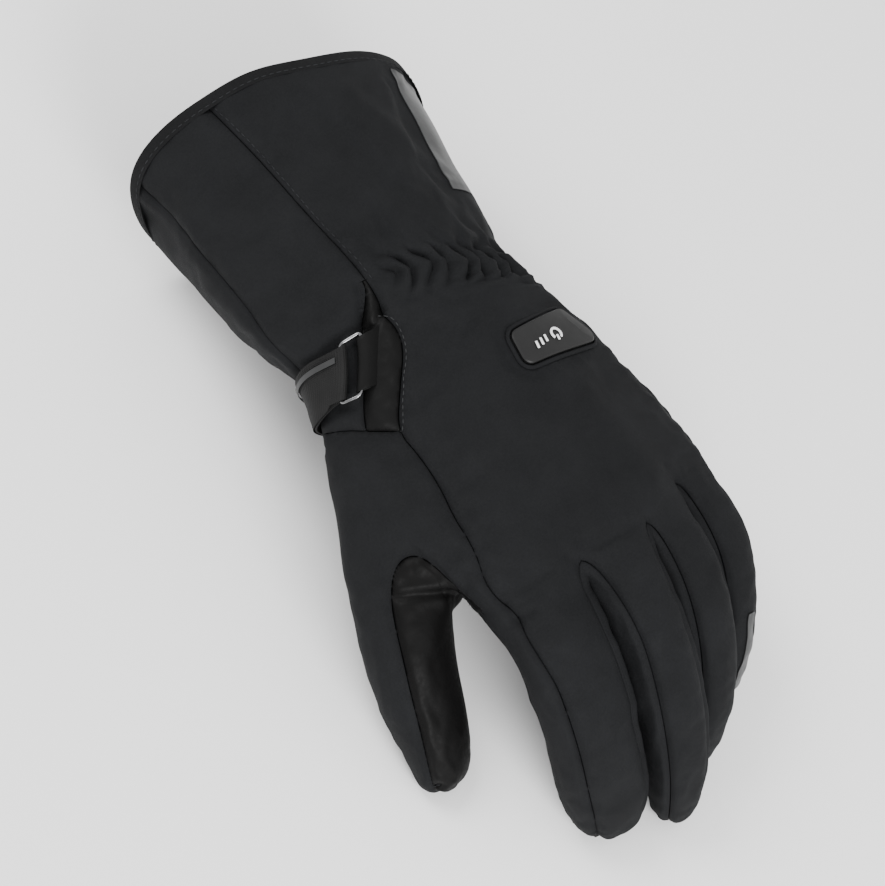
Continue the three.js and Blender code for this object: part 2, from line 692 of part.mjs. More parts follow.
// Panels
const panelMaterials = {
  gauntlet_back: cloth,
  gauntlet_side: cloth,
  gauntlet_palm: cloth,
  wrist_patch: black,
  hand_back: cloth,
  outer_side: cloth,
  thumb_back: cloth,
  thumb_palm: hide,
  palm: hide,
  gusset_index_middle: cloth,
  gusset_middle_ring: cloth,
  gusset_ring_little: cloth,
};
for (const [name, material] of Object.entries(panelMaterials)) addPiece(name, material, panelSolid(name));

// Elastic gathers over the back of the wrist: two rows of slanting puckers that meet in a zigzag.
const halfGapAt = (r, c, way) => seamGap / 2 / surfaceAt(cage.body, r, c)[way].length();
const gathers = {
  top: rowAt.gatherTop + halfGapAt(rowAt.gatherTop, 4, "along"),
  foot: rowAt.gatherFoot - halfGapAt(rowAt.gatherFoot, 4, "along"),
  start: halfGapAt(rowAt.gatherTop, 0, "round"),
  end: at.outerSide - halfGapAt(rowAt.gatherTop, at.outerSide, "round"),
};
const puckerAt = (u, v) => {
  const fade = smooth(v, 0, 0.25) * smooth(1 - v, 0, 0.25) * smooth(u, 0, 0.06) * smooth(1 - u, 0, 0.06);
  return gatherDepth * 0.5 * fade * Math.sin(2 * Math.PI * (gatherCount * u + Math.abs(v - 0.5)));
};
const gatherPlace = (u, v) => {
  return { r: mix(gathers.top, gathers.foot, v), c: mix(gathers.start, gathers.end, u) };
};
const gatherSteps = steps(gatherCount * 5);
const gatherSheet = sheetSolid(cage.body, gatherSteps, steps(4), gatherPlace, puckerAt, () => -wall);
addPiece("elastic_gathers", elastic, gatherSheet);

// Binding folded over the rim. Its sections stand at the rim's points, one axis up the cuff's wall.
const rimIds = used.filter((i) => skin.around[i].borders.length);
const rimMiddle = vector(0, 0, 0);
rimIds.forEach((i) => rimMiddle.addScaledVector(skin.points[i], 1 / rimIds.length));
const rimAngle = (i) => Math.atan2(skin.points[i].z - rimMiddle.z, skin.points[i].x - rimMiddle.x);
rimIds.sort((i, j) => rimAngle(i) - rimAngle(j));
const bindingInside = -wall - pieceGap;
const bindingSection = [
  { up: -pieceGap - bindingProud, out: bindingInside - bindingProud },
  { up: -pieceGap - bindingProud, out: bindingDepth },
  { up: bindingLength, out: bindingDepth },
  { up: bindingLength, out: pieceGap },
  { up: -pieceGap, out: pieceGap },
  { up: -pieceGap, out: bindingInside },
  { up: bindingLength, out: bindingInside },
  { up: bindingLength, out: bindingInside - bindingProud },
];
const bindingRings = rimIds.map((id) => {
  const { ends, borders } = skin.around[id];
  const inner = [...ends].find((end) => !borders.includes(end));
  const normal = skin.normals[id];
  const up = skin.points[inner].clone().sub(skin.points[id]);
  up.addScaledVector(normal, -up.dot(normal)).normalize();
  return bindingSection.map((corner) => {
    const point = skin.points[id].clone().addScaledVector(normal, corner.out);
    return point.addScaledVector(up, corner.up + seamGap / 2);
  });
});
addPiece("cuff_binding", black, loft(bindingRings));

// Strap ring: a rounded rectangle of wire that lies over the wrist patch, its long side up the hand.
const wireRadius = wireThickness / 2;
const wireHeight = wrapGap + strapThickness + pieceGap + wireRadius;
const ringLong = strapWidth + 2 * (pieceGap + wireRadius);
const ringScale = surfaceAt(cage.body, ringPlace.row, ringPlace.column).along.length();
const overWrist = (up, round, height) => {
  const row = ringPlace.row + up / ringScale;
  const column = goRound(ringPlace.row, ringPlace.column, round);
  const swell = thumbSwell * smooth(row, rowAt.strapFoot - 0.2, rowAt.patchFoot);
  return raisedAt(cage.body, row, column, height + swell);
};
const boxCorners = (wide, high) => {
  const signs = [[-1, -1], [1, -1], [1, 1], [-1, 1]];
  return signs.map(([x, y]) => new THREE.Vector2((x * wide) / 2, (y * high) / 2));
};
const circle = (count) => steps(count).slice(1).map((share) => 2 * Math.PI * share);
const wireSection = circle(6).map((angle) => {
  return { inset: wireRadius * Math.cos(angle), height: wireHeight + wireRadius * Math.sin(angle) };
});
const ringCorners = boxCorners(ringLong, ringDepth);
addPiece("strap_ring", steel, outlineLoft(ringCorners, ringCorner, wireSection, overWrist));

// A band doubled round one bar of the ring, seen along the bar: u is the distance out from the bar.
// The two layers part round the wire and close up again beyond it.
function foldedBand(thickness, lowReach, topReach, count) {
  const lowTop = wireHeight - wireRadius - pieceGap;
  const topFoot = (u) => {
    const closing = smooth(u, layersPart, layersMeet);
    return mix(wireHeight + wireRadius + pieceGap, lowTop + pieceGap, closing);
  };
  const bend = (radius) => [-60, -30, 0, 30, 60].map((turn) => {
    return { u: -radius * Math.cos(radians(turn)), h: wireHeight + radius * Math.sin(radians(turn)) };
  });
  const line = (reach, height) => {
    return steps(count).map((share) => ({ u: reach * share, h: height(reach * share) }));
  };
  return [
    ...line(lowReach, () => lowTop - thickness).reverse(),
    ...bend(wireRadius + pieceGap + thickness),
    ...line(topReach, (u) => topFoot(u) + thickness),
    ...line(topReach, topFoot).reverse(),
    ...bend(wireRadius + pieceGap).reverse(),
    ...line(lowReach, () => lowTop),
  ];
}

// The band's section repeated across its width. Its lower layer slides towards the fingers by the skew.
function bandSolid(section, width, skew, roundAt) {
  const rings = steps(4).map((share) => {
    return section.map(({ u, h }) => {
      const slide = (h < wireHeight ? skew : -0.6 * skew) * smooth(u, 0, skewReach);
      return overWrist((share - 0.5) * width + slide, roundAt(u), h);
    });
  });
  return loft(rings, stripCap(section.length / 2));
}
const fromThumbBar = (u) => -ringDepth / 2 - u;
const strapSection = foldedBand(strapThickness, strapLength, strapLength * 0.93, 11);
addPiece("wrist_strap", webbing, bandSolid(strapSection, strapWidth, strapSkew, fromThumbBar));
const tabSection = foldedBand(tabThickness, tabLength, tabLength, 3);
addPiece("ring_tab", black, bandSolid(tabSection, strapWidth - 1, 0, (u) => ringDepth / 2 + u));

// Reflective line along the strap, near its cuff side
const strapTop = (u) => {
  const closing = smooth(u, layersPart, layersMeet);
  return mix(wireHeight + wireRadius, wireHeight - wireRadius, closing) + strapThickness + pieceGap;
};
const lineRings = steps(9).map((share) => {
  const u = mix(2, strapLength * 0.7, share);
  const edge = -strapWidth / 2 + lineInset - 0.6 * strapSkew * smooth(u, 0, skewReach);
  const section = [[0, 0], [0, trimThickness], [lineWidth, trimThickness], [lineWidth, 0]];
  return section.map(([up, height]) => {
    return overWrist(edge + up, fromThumbBar(u), strapTop(u) + pieceGap + height);
  });
});
addPiece("strap_reflector", reflective, loft(lineRings, [[0, 1, 2], [0, 2, 3]]));

// Reflective patches on the gauntlet's outer side and on the little finger
const patchFrom = (grid, rowsTo, leftTo, rightTo) => {
  const place = (u, v) => {
    return { r: mix(...rowsTo, u), c: mix(mix(...leftTo, u), mix(...rightTo, u), v) };
  };
  return sheetSolid(grid, steps(6), steps(3), place, () => pieceGap + trimThickness, () => pieceGap);
};
const cuffPatch = patchFrom(cage.body, [0.74, 3.25], [6.65, 6.35], [8.15, 7.75]);
addPiece("cuff_reflector", reflective, cuffPatch);
const fingerPatch = patchFrom(cage.fingerGrids[3], [3.0, 4.95], [0.85, 0.85], [1.25, 1.55]);
addPiece("finger_reflector", reflective, fingerPatch);

// Button on the back of the hand. Its outline is drawn on the plane that touches the back under its
// middle: x to the little finger's side, y to the fingertips. drape brings a spot down to the back.
const buttonBase = surfaceAt(cage.body, buttonPlace.row, buttonPlace.column);
const buttonUp = buttonBase.along.clone().normalize();
const buttonAcross = buttonBase.normal.clone().cross(buttonUp);
const drape = (x, y, height) => {
  let [r, c] = [buttonPlace.row, buttonPlace.column];
  for (let i = 0; i < 6; i++) {
    const spot = surfaceAt(cage.body, r, c);
    const off = spot.point.clone().sub(buttonBase.point);
    const [dx, dy] = [x - off.dot(buttonAcross), y - off.dot(buttonUp)];
    const [ax, ay] = [spot.along.dot(buttonAcross), spot.along.dot(buttonUp)];
    const [bx, by] = [spot.round.dot(buttonAcross), spot.round.dot(buttonUp)];
    const scale = ax * by - ay * bx;
    r += (dx * by - dy * bx) / scale;
    c += (dy * ax - dx * ay) / scale;
  }
  return raisedAt(cage.body, r, c, height);
};
const buttonCorners = [
  new THREE.Vector2(-0.38 * buttonLength, -0.72 * buttonWidth),
  new THREE.Vector2(0.4 * buttonLength, -0.48 * buttonWidth),
  new THREE.Vector2(0.52 * buttonLength, 0.7 * buttonWidth),
  new THREE.Vector2(-0.5 * buttonLength, 0.18 * buttonWidth),
];
const padTop = pieceGap + padThickness;
const padSection = [
  { inset: frameWidth + padSpine, height: pieceGap },
  { inset: frameWidth + padShoulder, height: pieceGap },
  { inset: frameWidth + pieceGap, height: pieceGap },
  { inset: frameWidth + pieceGap, height: padTop - padBevel },
  { inset: frameWidth + pieceGap + padBevel, height: padTop },
  { inset: frameWidth + padShoulder, height: padTop },
  { inset: frameWidth + padSpine, height: padTop },
];
// The pad's faces are filled in strips across it, from the middle of its thumb-side end.
const padPoints = roundedOutline(buttonCorners, buttonCorner, 0).length;
const padCap = stripCap(padPoints / 2).map((corners) => corners.map((i) => (i + padPoints - 2) % padPoints));
addPiece("button_pad", rubber, outlineLoft(buttonCorners, buttonCorner, padSection, drape, padCap));
const frameSection = [
  { inset: 0, height: pieceGap },
  { inset: 0.3, height: pieceGap + 0.5 * frameThickness },
  { inset: 0.9, height: pieceGap + frameThickness },
  { inset: frameWidth - 0.5, height: pieceGap + frameThickness },
  { inset: frameWidth, height: pieceGap },
];
addPiece("button_frame", cloth, outlineLoft(buttonCorners, buttonCorner, frameSection, drape));

// Printed marks on the button: three level bars, and a power sign of an open circle and a short bar
const markHeights = [padTop + pieceGap, padTop + pieceGap + markThickness];
const markSolid = (outline) => {
  const rings = markHeights.map((height) => outline.map((spot) => drape(spot.x, spot.y, height)));
  return loft(rings, capOf(outline));
};
const barOutline = (x, y, length) => {
  const turn = radians(markLean);
  return boxCorners(markStroke, length).map((spot) => {
    return spot.rotateAround(new THREE.Vector2(0, 0), turn).add(new THREE.Vector2(x, y));
  });
};
[-1, 0, 1].forEach((place, i) => {
  const bar = barOutline(levelMiddle + place * levelPitch, -levelDrop, levelLength);
  addPiece(`level_bar_${i + 1}`, print, markSolid(bar));
});
const arcOutline = (radius) => steps(14).map((share) => {
  const angle = radians(markLean + 90 + powerGap / 2 + (360 - powerGap) * share);
  return new THREE.Vector2(powerPlace + radius * Math.cos(angle), radius * Math.sin(angle) - powerDrop);
});
const outerArc = arcOutline(powerRadius + markStroke / 2);
const innerArc = arcOutline(powerRadius - markStroke / 2);
addPiece("power_circle", print, markSolid([...outerArc, ...innerArc.reverse()]));
const powerLean = radians(markLean + 90);
const powerBar = barOutline(
  powerPlace + 0.75 * powerRadius * Math.cos(powerLean),
  0.75 * powerRadius * Math.sin(powerLean) - powerDrop,
  powerRadius
);
addPiece("power_bar", print, markSolid(powerBar));

// The whole glove, centred over the floor, with nothing below it
const box = new THREE.Box3();
for (const { geometry } of pieces) {
  const { position } = geometry.attributes;
  for (let i = 0; i < position.count; i++) position.setZ(i, Math.max(position.getZ(i), 0));
  geometry.computeBoundingBox();
  box.union(geometry.boundingBox);
}
const middle = box.getCenter(vector(0, 0, 0));
const group = new THREE.Group();
group.name = "heated_glove";
for (const { name, material, geometry } of pieces) {
  geometry.translate(-middle.x, -middle.y, 0);
  const mesh = new THREE.Mesh(geometry, material);
  mesh.name = name;
  group.add(mesh);
}

export default group;
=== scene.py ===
import math
import bpy
import bmesh
import numpy as np
from mathutils import Matrix, Vector
from mathutils.bvhtree import BVHTree
from mathutils.kdtree import KDTree


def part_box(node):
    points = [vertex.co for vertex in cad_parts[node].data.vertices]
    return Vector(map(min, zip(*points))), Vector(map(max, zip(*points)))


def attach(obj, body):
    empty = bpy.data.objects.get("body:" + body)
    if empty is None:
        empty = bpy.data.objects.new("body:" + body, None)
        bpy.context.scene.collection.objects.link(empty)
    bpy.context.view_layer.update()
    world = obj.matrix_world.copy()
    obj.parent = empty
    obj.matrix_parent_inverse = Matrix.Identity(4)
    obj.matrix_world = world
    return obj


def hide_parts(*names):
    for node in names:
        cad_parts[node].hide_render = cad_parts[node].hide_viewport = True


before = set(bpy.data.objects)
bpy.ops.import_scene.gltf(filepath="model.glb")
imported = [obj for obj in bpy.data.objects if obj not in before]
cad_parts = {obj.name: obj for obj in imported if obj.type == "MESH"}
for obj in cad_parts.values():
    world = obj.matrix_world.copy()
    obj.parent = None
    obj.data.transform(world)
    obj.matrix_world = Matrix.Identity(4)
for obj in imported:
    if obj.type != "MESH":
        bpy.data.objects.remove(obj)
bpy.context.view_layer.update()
mm = 0.001
scene = bpy.context.scene


# Small helpers

def mix(a, b, t):
    return a + (b - a) * t


def smoothStep(x, low, high):
    t = np.clip((x - low) / (high - low), 0, 1)
    return t * t * (3 - 2 * t)


def unit(v):
    v = np.asarray(v, float)
    return v / np.maximum(np.linalg.norm(v, axis=-1, keepdims=True), 1e-12)


def ripple(points, length, seed):
    # soft random waves of about that length, the same on every run
    random = np.random.default_rng(seed)
    total = np.zeros(len(points))
    for k in unit(random.normal(size=(7, 3))):
        scale = 2 * math.pi / (length * random.uniform(0.75, 1.3))
        total += np.sin(points @ k * scale + random.uniform(0, 6.28))
    return total / 7 * 1.6


def makeMesh(name, points, faces, uvs=None, smooth=True):
    # points in millimetres, in the frame of the CAD model
    mesh = bpy.data.meshes.new(name)
    mesh.from_pydata((np.asarray(points) * mm).tolist(), [], [list(map(int, f)) for f in faces])
    mesh.update()
    if uvs is not None:
        layer = mesh.uv_layers.new(name="clothMap")
        loops = readArray(mesh.loops, "vertex_index", 1, int)
        layer.data.foreach_set("uv", np.asarray(uvs, float)[loops].ravel())
    if smooth:
        mesh.shade_smooth()
    obj = bpy.data.objects.new(name, mesh)
    scene.collection.objects.link(obj)
    return obj


def evaluatedMesh(obj):
    return bpy.data.meshes.new_from_object(obj.evaluated_get(bpy.context.evaluated_depsgraph_get()))


def settle(obj):
    # turns live modifiers into a plain mesh
    mesh = evaluatedMesh(obj)
    obj.modifiers.clear()
    obj.data = mesh


def readArray(items, key, size, kind=float):
    # one attribute of many mesh items, a row for each item
    values = np.zeros(len(items) * size, kind)
    items.foreach_get(key, values)
    return values.reshape(-1, size) if size > 1 else values


def bevelEdges(obj, width, angle):
    bevel = obj.modifiers.new("edges", "BEVEL")
    bevel.width, bevel.segments, bevel.limit_method = width * mm, 2, "ANGLE"
    bevel.angle_limit = math.radians(angle)


def recalculate(obj, merge=None):
    # turns the faces outwards, after doubles closer than that many metres are merged
    work = bmesh.new()
    work.from_mesh(obj.data)
    if merge:
        bmesh.ops.remove_doubles(work, verts=work.verts, dist=merge)
    bmesh.ops.recalc_face_normals(work, faces=work.faces)
    work.to_mesh(obj.data)
    work.free()
    obj.data.shade_smooth()


def tubeFaces(count, around):
    # faces of a tube that closes on itself: that many rings of that many points
    faces = []
    for r in range(count):
        for k in range(around):
            n, m = (r + 1) % count, (k + 1) % around
            faces.append((r * around + k, r * around + m, n * around + m, n * around + k))
    return faces


def pointTree(points):
    tree = KDTree(len(points))
    for i, point in enumerate(points):
        tree.insert(point, i)
    tree.balance()
    return tree


def nearestTo(points, targets):
    # for each point the nearest target's number and how far away it is
    tree = pointTree(targets)
    found = [tree.find(point)[1:] for point in points]
    return np.array([f[0] for f in found]), np.array([f[1] for f in found])


def finishPiece(obj, material, replaced=()):
    obj.data.materials.clear()
    obj.data.materials.append(material)
    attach(obj, "root")
    if replaced:
        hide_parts(*replaced)


# The glove's shell: a cage of quads from short tables, in millimetres.
# Hand axes: x to the thumb side, y to the fingertips, z off the back.

shell = {
    "gauntletLength": 98, "rimWidth": 129, "rimDepth": 82, "rimBow": 12, "rimSway": 4, "rimSlant": 18,
    "gauntletDrop": 9, "wristWidth": 90, "wristDepth": 58, "handLength": 117, "palmWidth": 114,
    "palmDepth": 46, "palmSway": 11, "thumbMound": 24, "thumbRootPull": 13, "fingerWidth": 30,
    "fingerDepth": 28, "thumbLength": 118, "thumbWidth": 38, "thumbDepth": 32, "wall": 3, "seamGap": 0.4,
    "restPitch": 6.1, "restRoll": 0.5, "restPress": 1.5, "bindingDepth": 1.1, "levels": 4,
}

# name, turn and cuffTurn in degrees, across, rise, reach, mound
columns = [
    ("seam", None, None, 0.96, -0.06, 0.94, 0.15),
    ("backIndex", None, None, 0.64, 0.46, 0.98, 0),
    ("backSlot1", None, None, 0.35, 0.3, 1.0, 0),
    ("backMiddle", None, None, 0.04, 0.7, 1.0, 0),
    ("backSlot2", None, None, -0.22, 0.43, 0.985, 0),
    ("backRing", None, None, -0.46, 0.52, 0.95, 0),
    ("backSlot3", None, None, -0.67, 0.12, 0.9, 0),
    ("backLittle", None, None, -0.89, 0.05, 0.87, 0),
    ("backOuter", None, None, -1.02, -0.32, 0.85, 0),
    ("outerSide", 180, None, -1.04, -0.72, 0.85, 0),
    ("palmOuter", 212, None, -0.93, -1.08, 0.86, 0),
    ("palmLittle", 232, None, -0.74, -1.16, 0.89, 0),
    ("palmSlot3", 246, None, -0.58, -0.78, 0.93, 0),
    ("palmRing", 258, None, -0.39, -0.84, 0.97, 0),
    ("palmSlot2", 270, None, -0.19, -0.54, 1.0, 0),
    ("palmMiddle", 282, None, 0.03, -0.68, 1.01, 0),
    ("palmSlot1", 294, None, 0.3, -0.6, 1.01, 0),
    ("palmIndex", 308, 330, 0.53, -0.96, 0.98, 0.7),
    ("palmThumb", 330, 378, 0.9, -0.8, 0.93, 1.0),
    ("thumbSide", 367, 402, 1.0, -0.42, 0.92, 0.8),
]
at = {column[0]: i for i, column in enumerate(columns)}
outerTurn = 150

# name, along, flare, flat, seam in degrees, slant, sway, cuff, mound, pull
rows = [
    ("rim", -1.0, 1.0, 0, 62, 1, 1, 1, 0, 0),
    ("rimStitch", -0.92, 0.96, 0, 63, 1, 0.9, 1, 0, 0),
    ("upper", -0.7, 0.81, 0, 66, 1, 0.5, 1, 0, 0),
    ("middle", -0.47, 0.66, 0, 70, 0.95, -0.7, 1.12, 0.04, 0),
    ("lower", -0.3, 0.46, 0, 73, 0.9, -0.9, 1.12, 0.1, 0),
    ("gatherTop", -0.17, 0.27, 0, 75, 0.8, -1.0, 0.95, 0.14, 0),
    ("gatherFoot", -0.03, 0.1, 0, 72, 0.7, -0.7, 0.8, 0.2, 0),
    ("strapFoot", 0.13, 0.35, 0.08, 54, 0.35, 0.35, 0.35, 0.5, 0.4),
    ("patchFoot", 0.29, 0.68, 0.2, 30, 0.1, 0.75, 0, 0.8, 1.4),
    ("thumbLow", 0.45, 0.85, 0.36, 26, 0, 0.95, 0, 0.85, 0.5),
    ("thumbHigh", 0.64, 0.96, 0.56, 26, 0, 1, 0, 0.7, 0),
    ("thumbWeb", 0.86, 1, 0.8, 22, 0, 1, 0, 0.4, 0),
    ("knuckles", 1.0, 1, 1, 20, 0, 1, 0, 0, 0),
]
rowAt = {row[0]: i for i, row in enumerate(rows)}

# name, length, wide, tilt, yaw, bend, curl
fingers = [
    ("index", 106, 1.15, 6, 6.4, 24, 46),
    ("middle", 114, 0.98, 0, 5.6, 24, 50),
    ("ring", 106, 0.92, -10, 0.8, 28, 50),
    ("little", 92, 0.87, -20, -5.6, 28, 46),
]
# along, width, depth
fingerRows = [(0.16, 1, 1.02), (0.34, 1, 1), (0.52, 0.98, 0.96), (0.7, 0.95, 0.9), (0.87, 0.87, 0.78),
              (0.975, 0.62, 0.52)]
fingerRound = [(0.8, 0.8), (0, 1.12), (-0.8, 0.8), (-1, 0), (-0.8, -0.8), (0, -1.12), (0.8, -0.8), (1, 0)]

thumb = {"across": 0.92, "along": 0.4, "rise": -0.3, "spread": (19, 2), "drop": (26, 42), "twist": 8}
# along, width, depth, blend
thumbRows = [(0.48, 1.04, 1.02, 0.36), (0.48, 1.04, 1.02, 0.7), (0.5, 1.02, 1, 1), (0.68, 0.93, 0.95, 1),
             (0.84, 0.8, 0.83, 1), (0.965, 0.58, 0.58, 1)]
thumbTurns = [150, 118, 80, 36, 0, -36, -72, -108, -144, 180]


def ringSwell(count):
    return 6 / (4 + 2 * math.cos(2 * math.pi / count))


def bodyRing(row):
    name, along, flare, flat, seam, slant, sway, cuff, mound, pull = row
    swell = ringSwell(len(columns))
    onCuff = along < 0
    width = mix(shell["wristWidth"], shell["rimWidth"] if onCuff else shell["palmWidth"], flare)
    depth = mix(shell["wristDepth"], shell["rimDepth"] if onCuff else shell["palmDepth"], flare)
    ring = []
    for i, (column, turn, cuffTurn, across, rise, reach, share) in enumerate(columns):
        handTurn = mix(seam, outerTurn, i / at["backOuter"]) if turn is None else turn
        angle = math.radians(mix(handTurn, handTurn if cuffTurn is None else cuffTurn, cuff))
        x = mix(math.cos(angle) * swell, across, flat) * width / 2
        z = mix(math.sin(angle) * swell, rise, flat) * depth / 2
        slanted = shell["rimSlant"] * slant * x / width
        x += shell["thumbMound"] * mound * share - sway * (shell["rimSway"] if onCuff else shell["palmSway"])
        if onCuff:
            bow = shell["rimBow"] * float(smoothStep(-along, 0.2, 1)) * z / (depth / 2)
            y = along * shell["gauntletLength"] - bow - slanted
            ring.append((x, y, z - shell["gauntletDrop"] * along ** 2))
        else:
            pulled = shell["thumbRootPull"] * pull * share
            ring.append((x, along * shell["handLength"] * mix(1, reach, flat) - slanted - pulled, z))
    return np.array(ring)


def fingerRings(finger, base):
    name, length, wide, tilt, yaw, bend, curl = finger
    tilt, yaw = math.radians(tilt), math.radians(yaw)
    up = np.array([math.sin(tilt), 0, math.cos(tilt)])
    flat = np.array([math.cos(tilt), 0, -math.sin(tilt)])
    ahead = np.array([0, math.cos(yaw), 0]) + flat * math.sin(yaw)
    side = flat * math.cos(yaw) + np.array([0, -math.sin(yaw), 0])
    point, rings, steps = np.array(base, float), [], 60
    for i in range(steps):
        share = (i + 0.5) / steps
        bent = bend * float(smoothStep(share, -0.2, 0.2)) + curl * float(smoothStep(share, 0.1, 0.95))
        pitch = math.radians(bent)
        forward = ahead * math.cos(pitch) - up * math.sin(pitch)
        if len(rings) < len(fingerRows) and share > fingerRows[len(rings)][0]:
            above = ahead * math.sin(pitch) + up * math.cos(pitch)
            width, depth = fingerRows[len(rings)][1:]
            halfWide = width * wide * shell["fingerWidth"] / 2
            halfDeep = depth * shell["fingerDepth"] / 2
            rings.append([point + side * a * halfWide + above * r * halfDeep for a, r in fingerRound])
        point = point + forward * length / steps
    return rings, point


def thumbRings(hole):
    start = np.array([thumb["across"] * shell["palmWidth"] / 2, thumb["along"] * shell["handLength"],
                      thumb["rise"] * shell["palmDepth"] / 2])
    swell = ringSwell(len(thumbTurns))

    def headingAt(share):
        spread = math.radians(mix(*thumb["spread"], share))
        drop = math.radians(mix(*thumb["drop"], share))
        level = math.cos(drop)
        return np.array([math.sin(spread) * level, math.cos(spread) * level, -math.sin(drop)])

    def pointAt(share):
        count = round(60 * share)
        point = start.copy()
        for i in range(count):
            point += headingAt((i + 0.5) / count * share) * shell["thumbLength"] * share / count
        return point

    rings = []
    for along, width, depth, blend in thumbRows:
        forward = headingAt(along)
        level = unit([-forward[1], forward[0], 0])
        inward = np.array(Matrix.Rotation(math.radians(thumb["twist"]), 3, Vector(forward)) @ Vector(level))
        back = np.cross(forward, inward)
        middle = pointAt(along)
        ring = []
        for i, turn in enumerate(thumbTurns):
            across = math.cos(math.radians(turn)) * swell * width * shell["thumbWidth"] / 2
            rise = math.sin(math.radians(turn)) * swell * depth * shell["thumbDepth"] / 2
            ring.append(mix(hole[i], middle + inward * across + back * rise, blend))
        rings.append(ring)
    return rings, pointAt(1)


def buildCage():
    points, faces = [], []     # a face: panel, corners, (column, row) at each corner, on the body or not

    def add(point):
        points.append(np.array(point, float))
        return len(points) - 1

    count = len(columns)
    body = [[add(p) for p in bodyRing(row)] for row in rows]

    def panelOf(r, c):
        onBack = c < at["backOuter"]
        onThumbSide = c in (at["palmThumb"], at["thumbSide"])
        if r < rowAt["gatherTop"]:
            if onThumbSide:
                return "gauntlet_side"
            return "gauntlet_back" if onBack or c == at["backOuter"] else "gauntlet_palm"
        if r < rowAt["patchFoot"] and onThumbSide:
            return "wrist_patch"
        if r < rowAt["gatherFoot"]:
            return "elastic_gathers" if onBack or c == at["backOuter"] else "gauntlet_palm"
        if onBack:
            return "hand_back"
        if c in (at["backOuter"], at["outerSide"]):
            return "outer_side"
        return "thumb_back" if onThumbSide else "palm"

    for r in range(len(rows) - 1):
        for c in range(count):
            inHole = rowAt["patchFoot"] <= r < rowAt["thumbWeb"] and c in (at["palmIndex"], at["palmThumb"])
            if inHole:
                continue
            n = (c + 1) % count
            corners = (body[r][c], body[r + 1][c], body[r + 1][n], body[r][n])
            faces.append((panelOf(r, c), corners, ((c, r), (c, r + 1), (c + 1, r + 1), (c + 1, r)), 1))

    def tube(edge, rings, tip, panelAt, capPanels):
        around = len(edge)
        grid = [edge] + [[add(p) for p in ring] for ring in rings]
        for r in range(len(grid) - 1):
            for k in range(around):
                n = (k + 1) % around
                corners = (grid[r][k], grid[r + 1][k], grid[r + 1][n], grid[r][n])
                faces.append((panelAt(r, k), corners, ((k, r), (k, r + 1), (k + 1, r + 1), (k + 1, r)), 0))
        last, end = grid[-1], add(tip)
        for k in range(1, around, 2):
            corners = (end, last[(k + 1) % around], last[k], last[k - 1])
            faces.append((capPanels[(k - 1) // 2], corners, ((k, 8), (k + 1, 7), (k, 7), (k - 1, 7)), 0))
        return grid

    knuckles = body[rowAt["knuckles"]]
    knuckle = lambda *names: [knuckles[at[name]] for name in names]
    webs = []
    for i in (1, 2, 3):
        a, b = knuckle(f"backSlot{i}", f"palmSlot{i}")
        webs.append(add((points[a] + points[b]) / 2 + np.array([0, shell["handLength"] * 0.03, 0])))
    edges = [
        [*knuckle("seam", "backIndex", "backSlot1"), webs[0],
         *knuckle("palmSlot1", "palmIndex", "palmThumb", "thumbSide")],
        [*knuckle("backSlot1", "backMiddle", "backSlot2"), webs[1],
         *knuckle("palmSlot2", "palmMiddle", "palmSlot1"), webs[0]],
        [*knuckle("backSlot2", "backRing", "backSlot3"), webs[2],
         *knuckle("palmSlot3", "palmRing", "palmSlot2"), webs[1]],
        [*knuckle("backSlot3", "backLittle", "backOuter", "outerSide", "palmOuter", "palmLittle",
                  "palmSlot3"), webs[2]],
    ]
    gussets = ["thumb_back", "gusset_index_middle", "gusset_middle_ring", "gusset_ring_little", "outer_side"]
    fingerGrids = []
    for i, finger in enumerate(fingers):
        base = sum(points[index] for index in edges[i]) / len(edges[i])
        rings, tip = fingerRings(finger, base)
        near, far = gussets[i], gussets[i + 1]
        panels = ["hand_back", "hand_back", far, far, "palm", "palm", near, near]
        caps = ["hand_back", "hand_back", "palm", "palm"]
        fingerGrids.append(tube(edges[i], rings, tip, lambda r, k, panels=panels: panels[k], caps))

    hole = [body[rowAt[name]][at["thumbSide"]] for name in ("patchFoot", "thumbLow", "thumbHigh", "thumbWeb")]
    hole.append(body[rowAt["thumbWeb"]][at["palmThumb"]])
    hole += [body[rowAt[name]][at["palmIndex"]]
             for name in ("thumbWeb", "thumbHigh", "thumbLow", "patchFoot")]
    hole.append(body[rowAt["patchFoot"]][at["palmThumb"]])
    rings, tip = thumbRings([points[index] for index in hole])

    def thumbPanel(r, k):
        return "thumb_back" if k < 1 or k > 7 or (r < 1 and k < 3) else "thumb_palm"

    thumbGrid = tube(hole, rings, tip, thumbPanel, ["thumb_palm"] * 4 + ["thumb_back"])
    body[rowAt["thumbLow"]][at["palmThumb"]] = thumbGrid[1][9]
    return np.array(points), faces, body, fingerGrids, thumbGrid


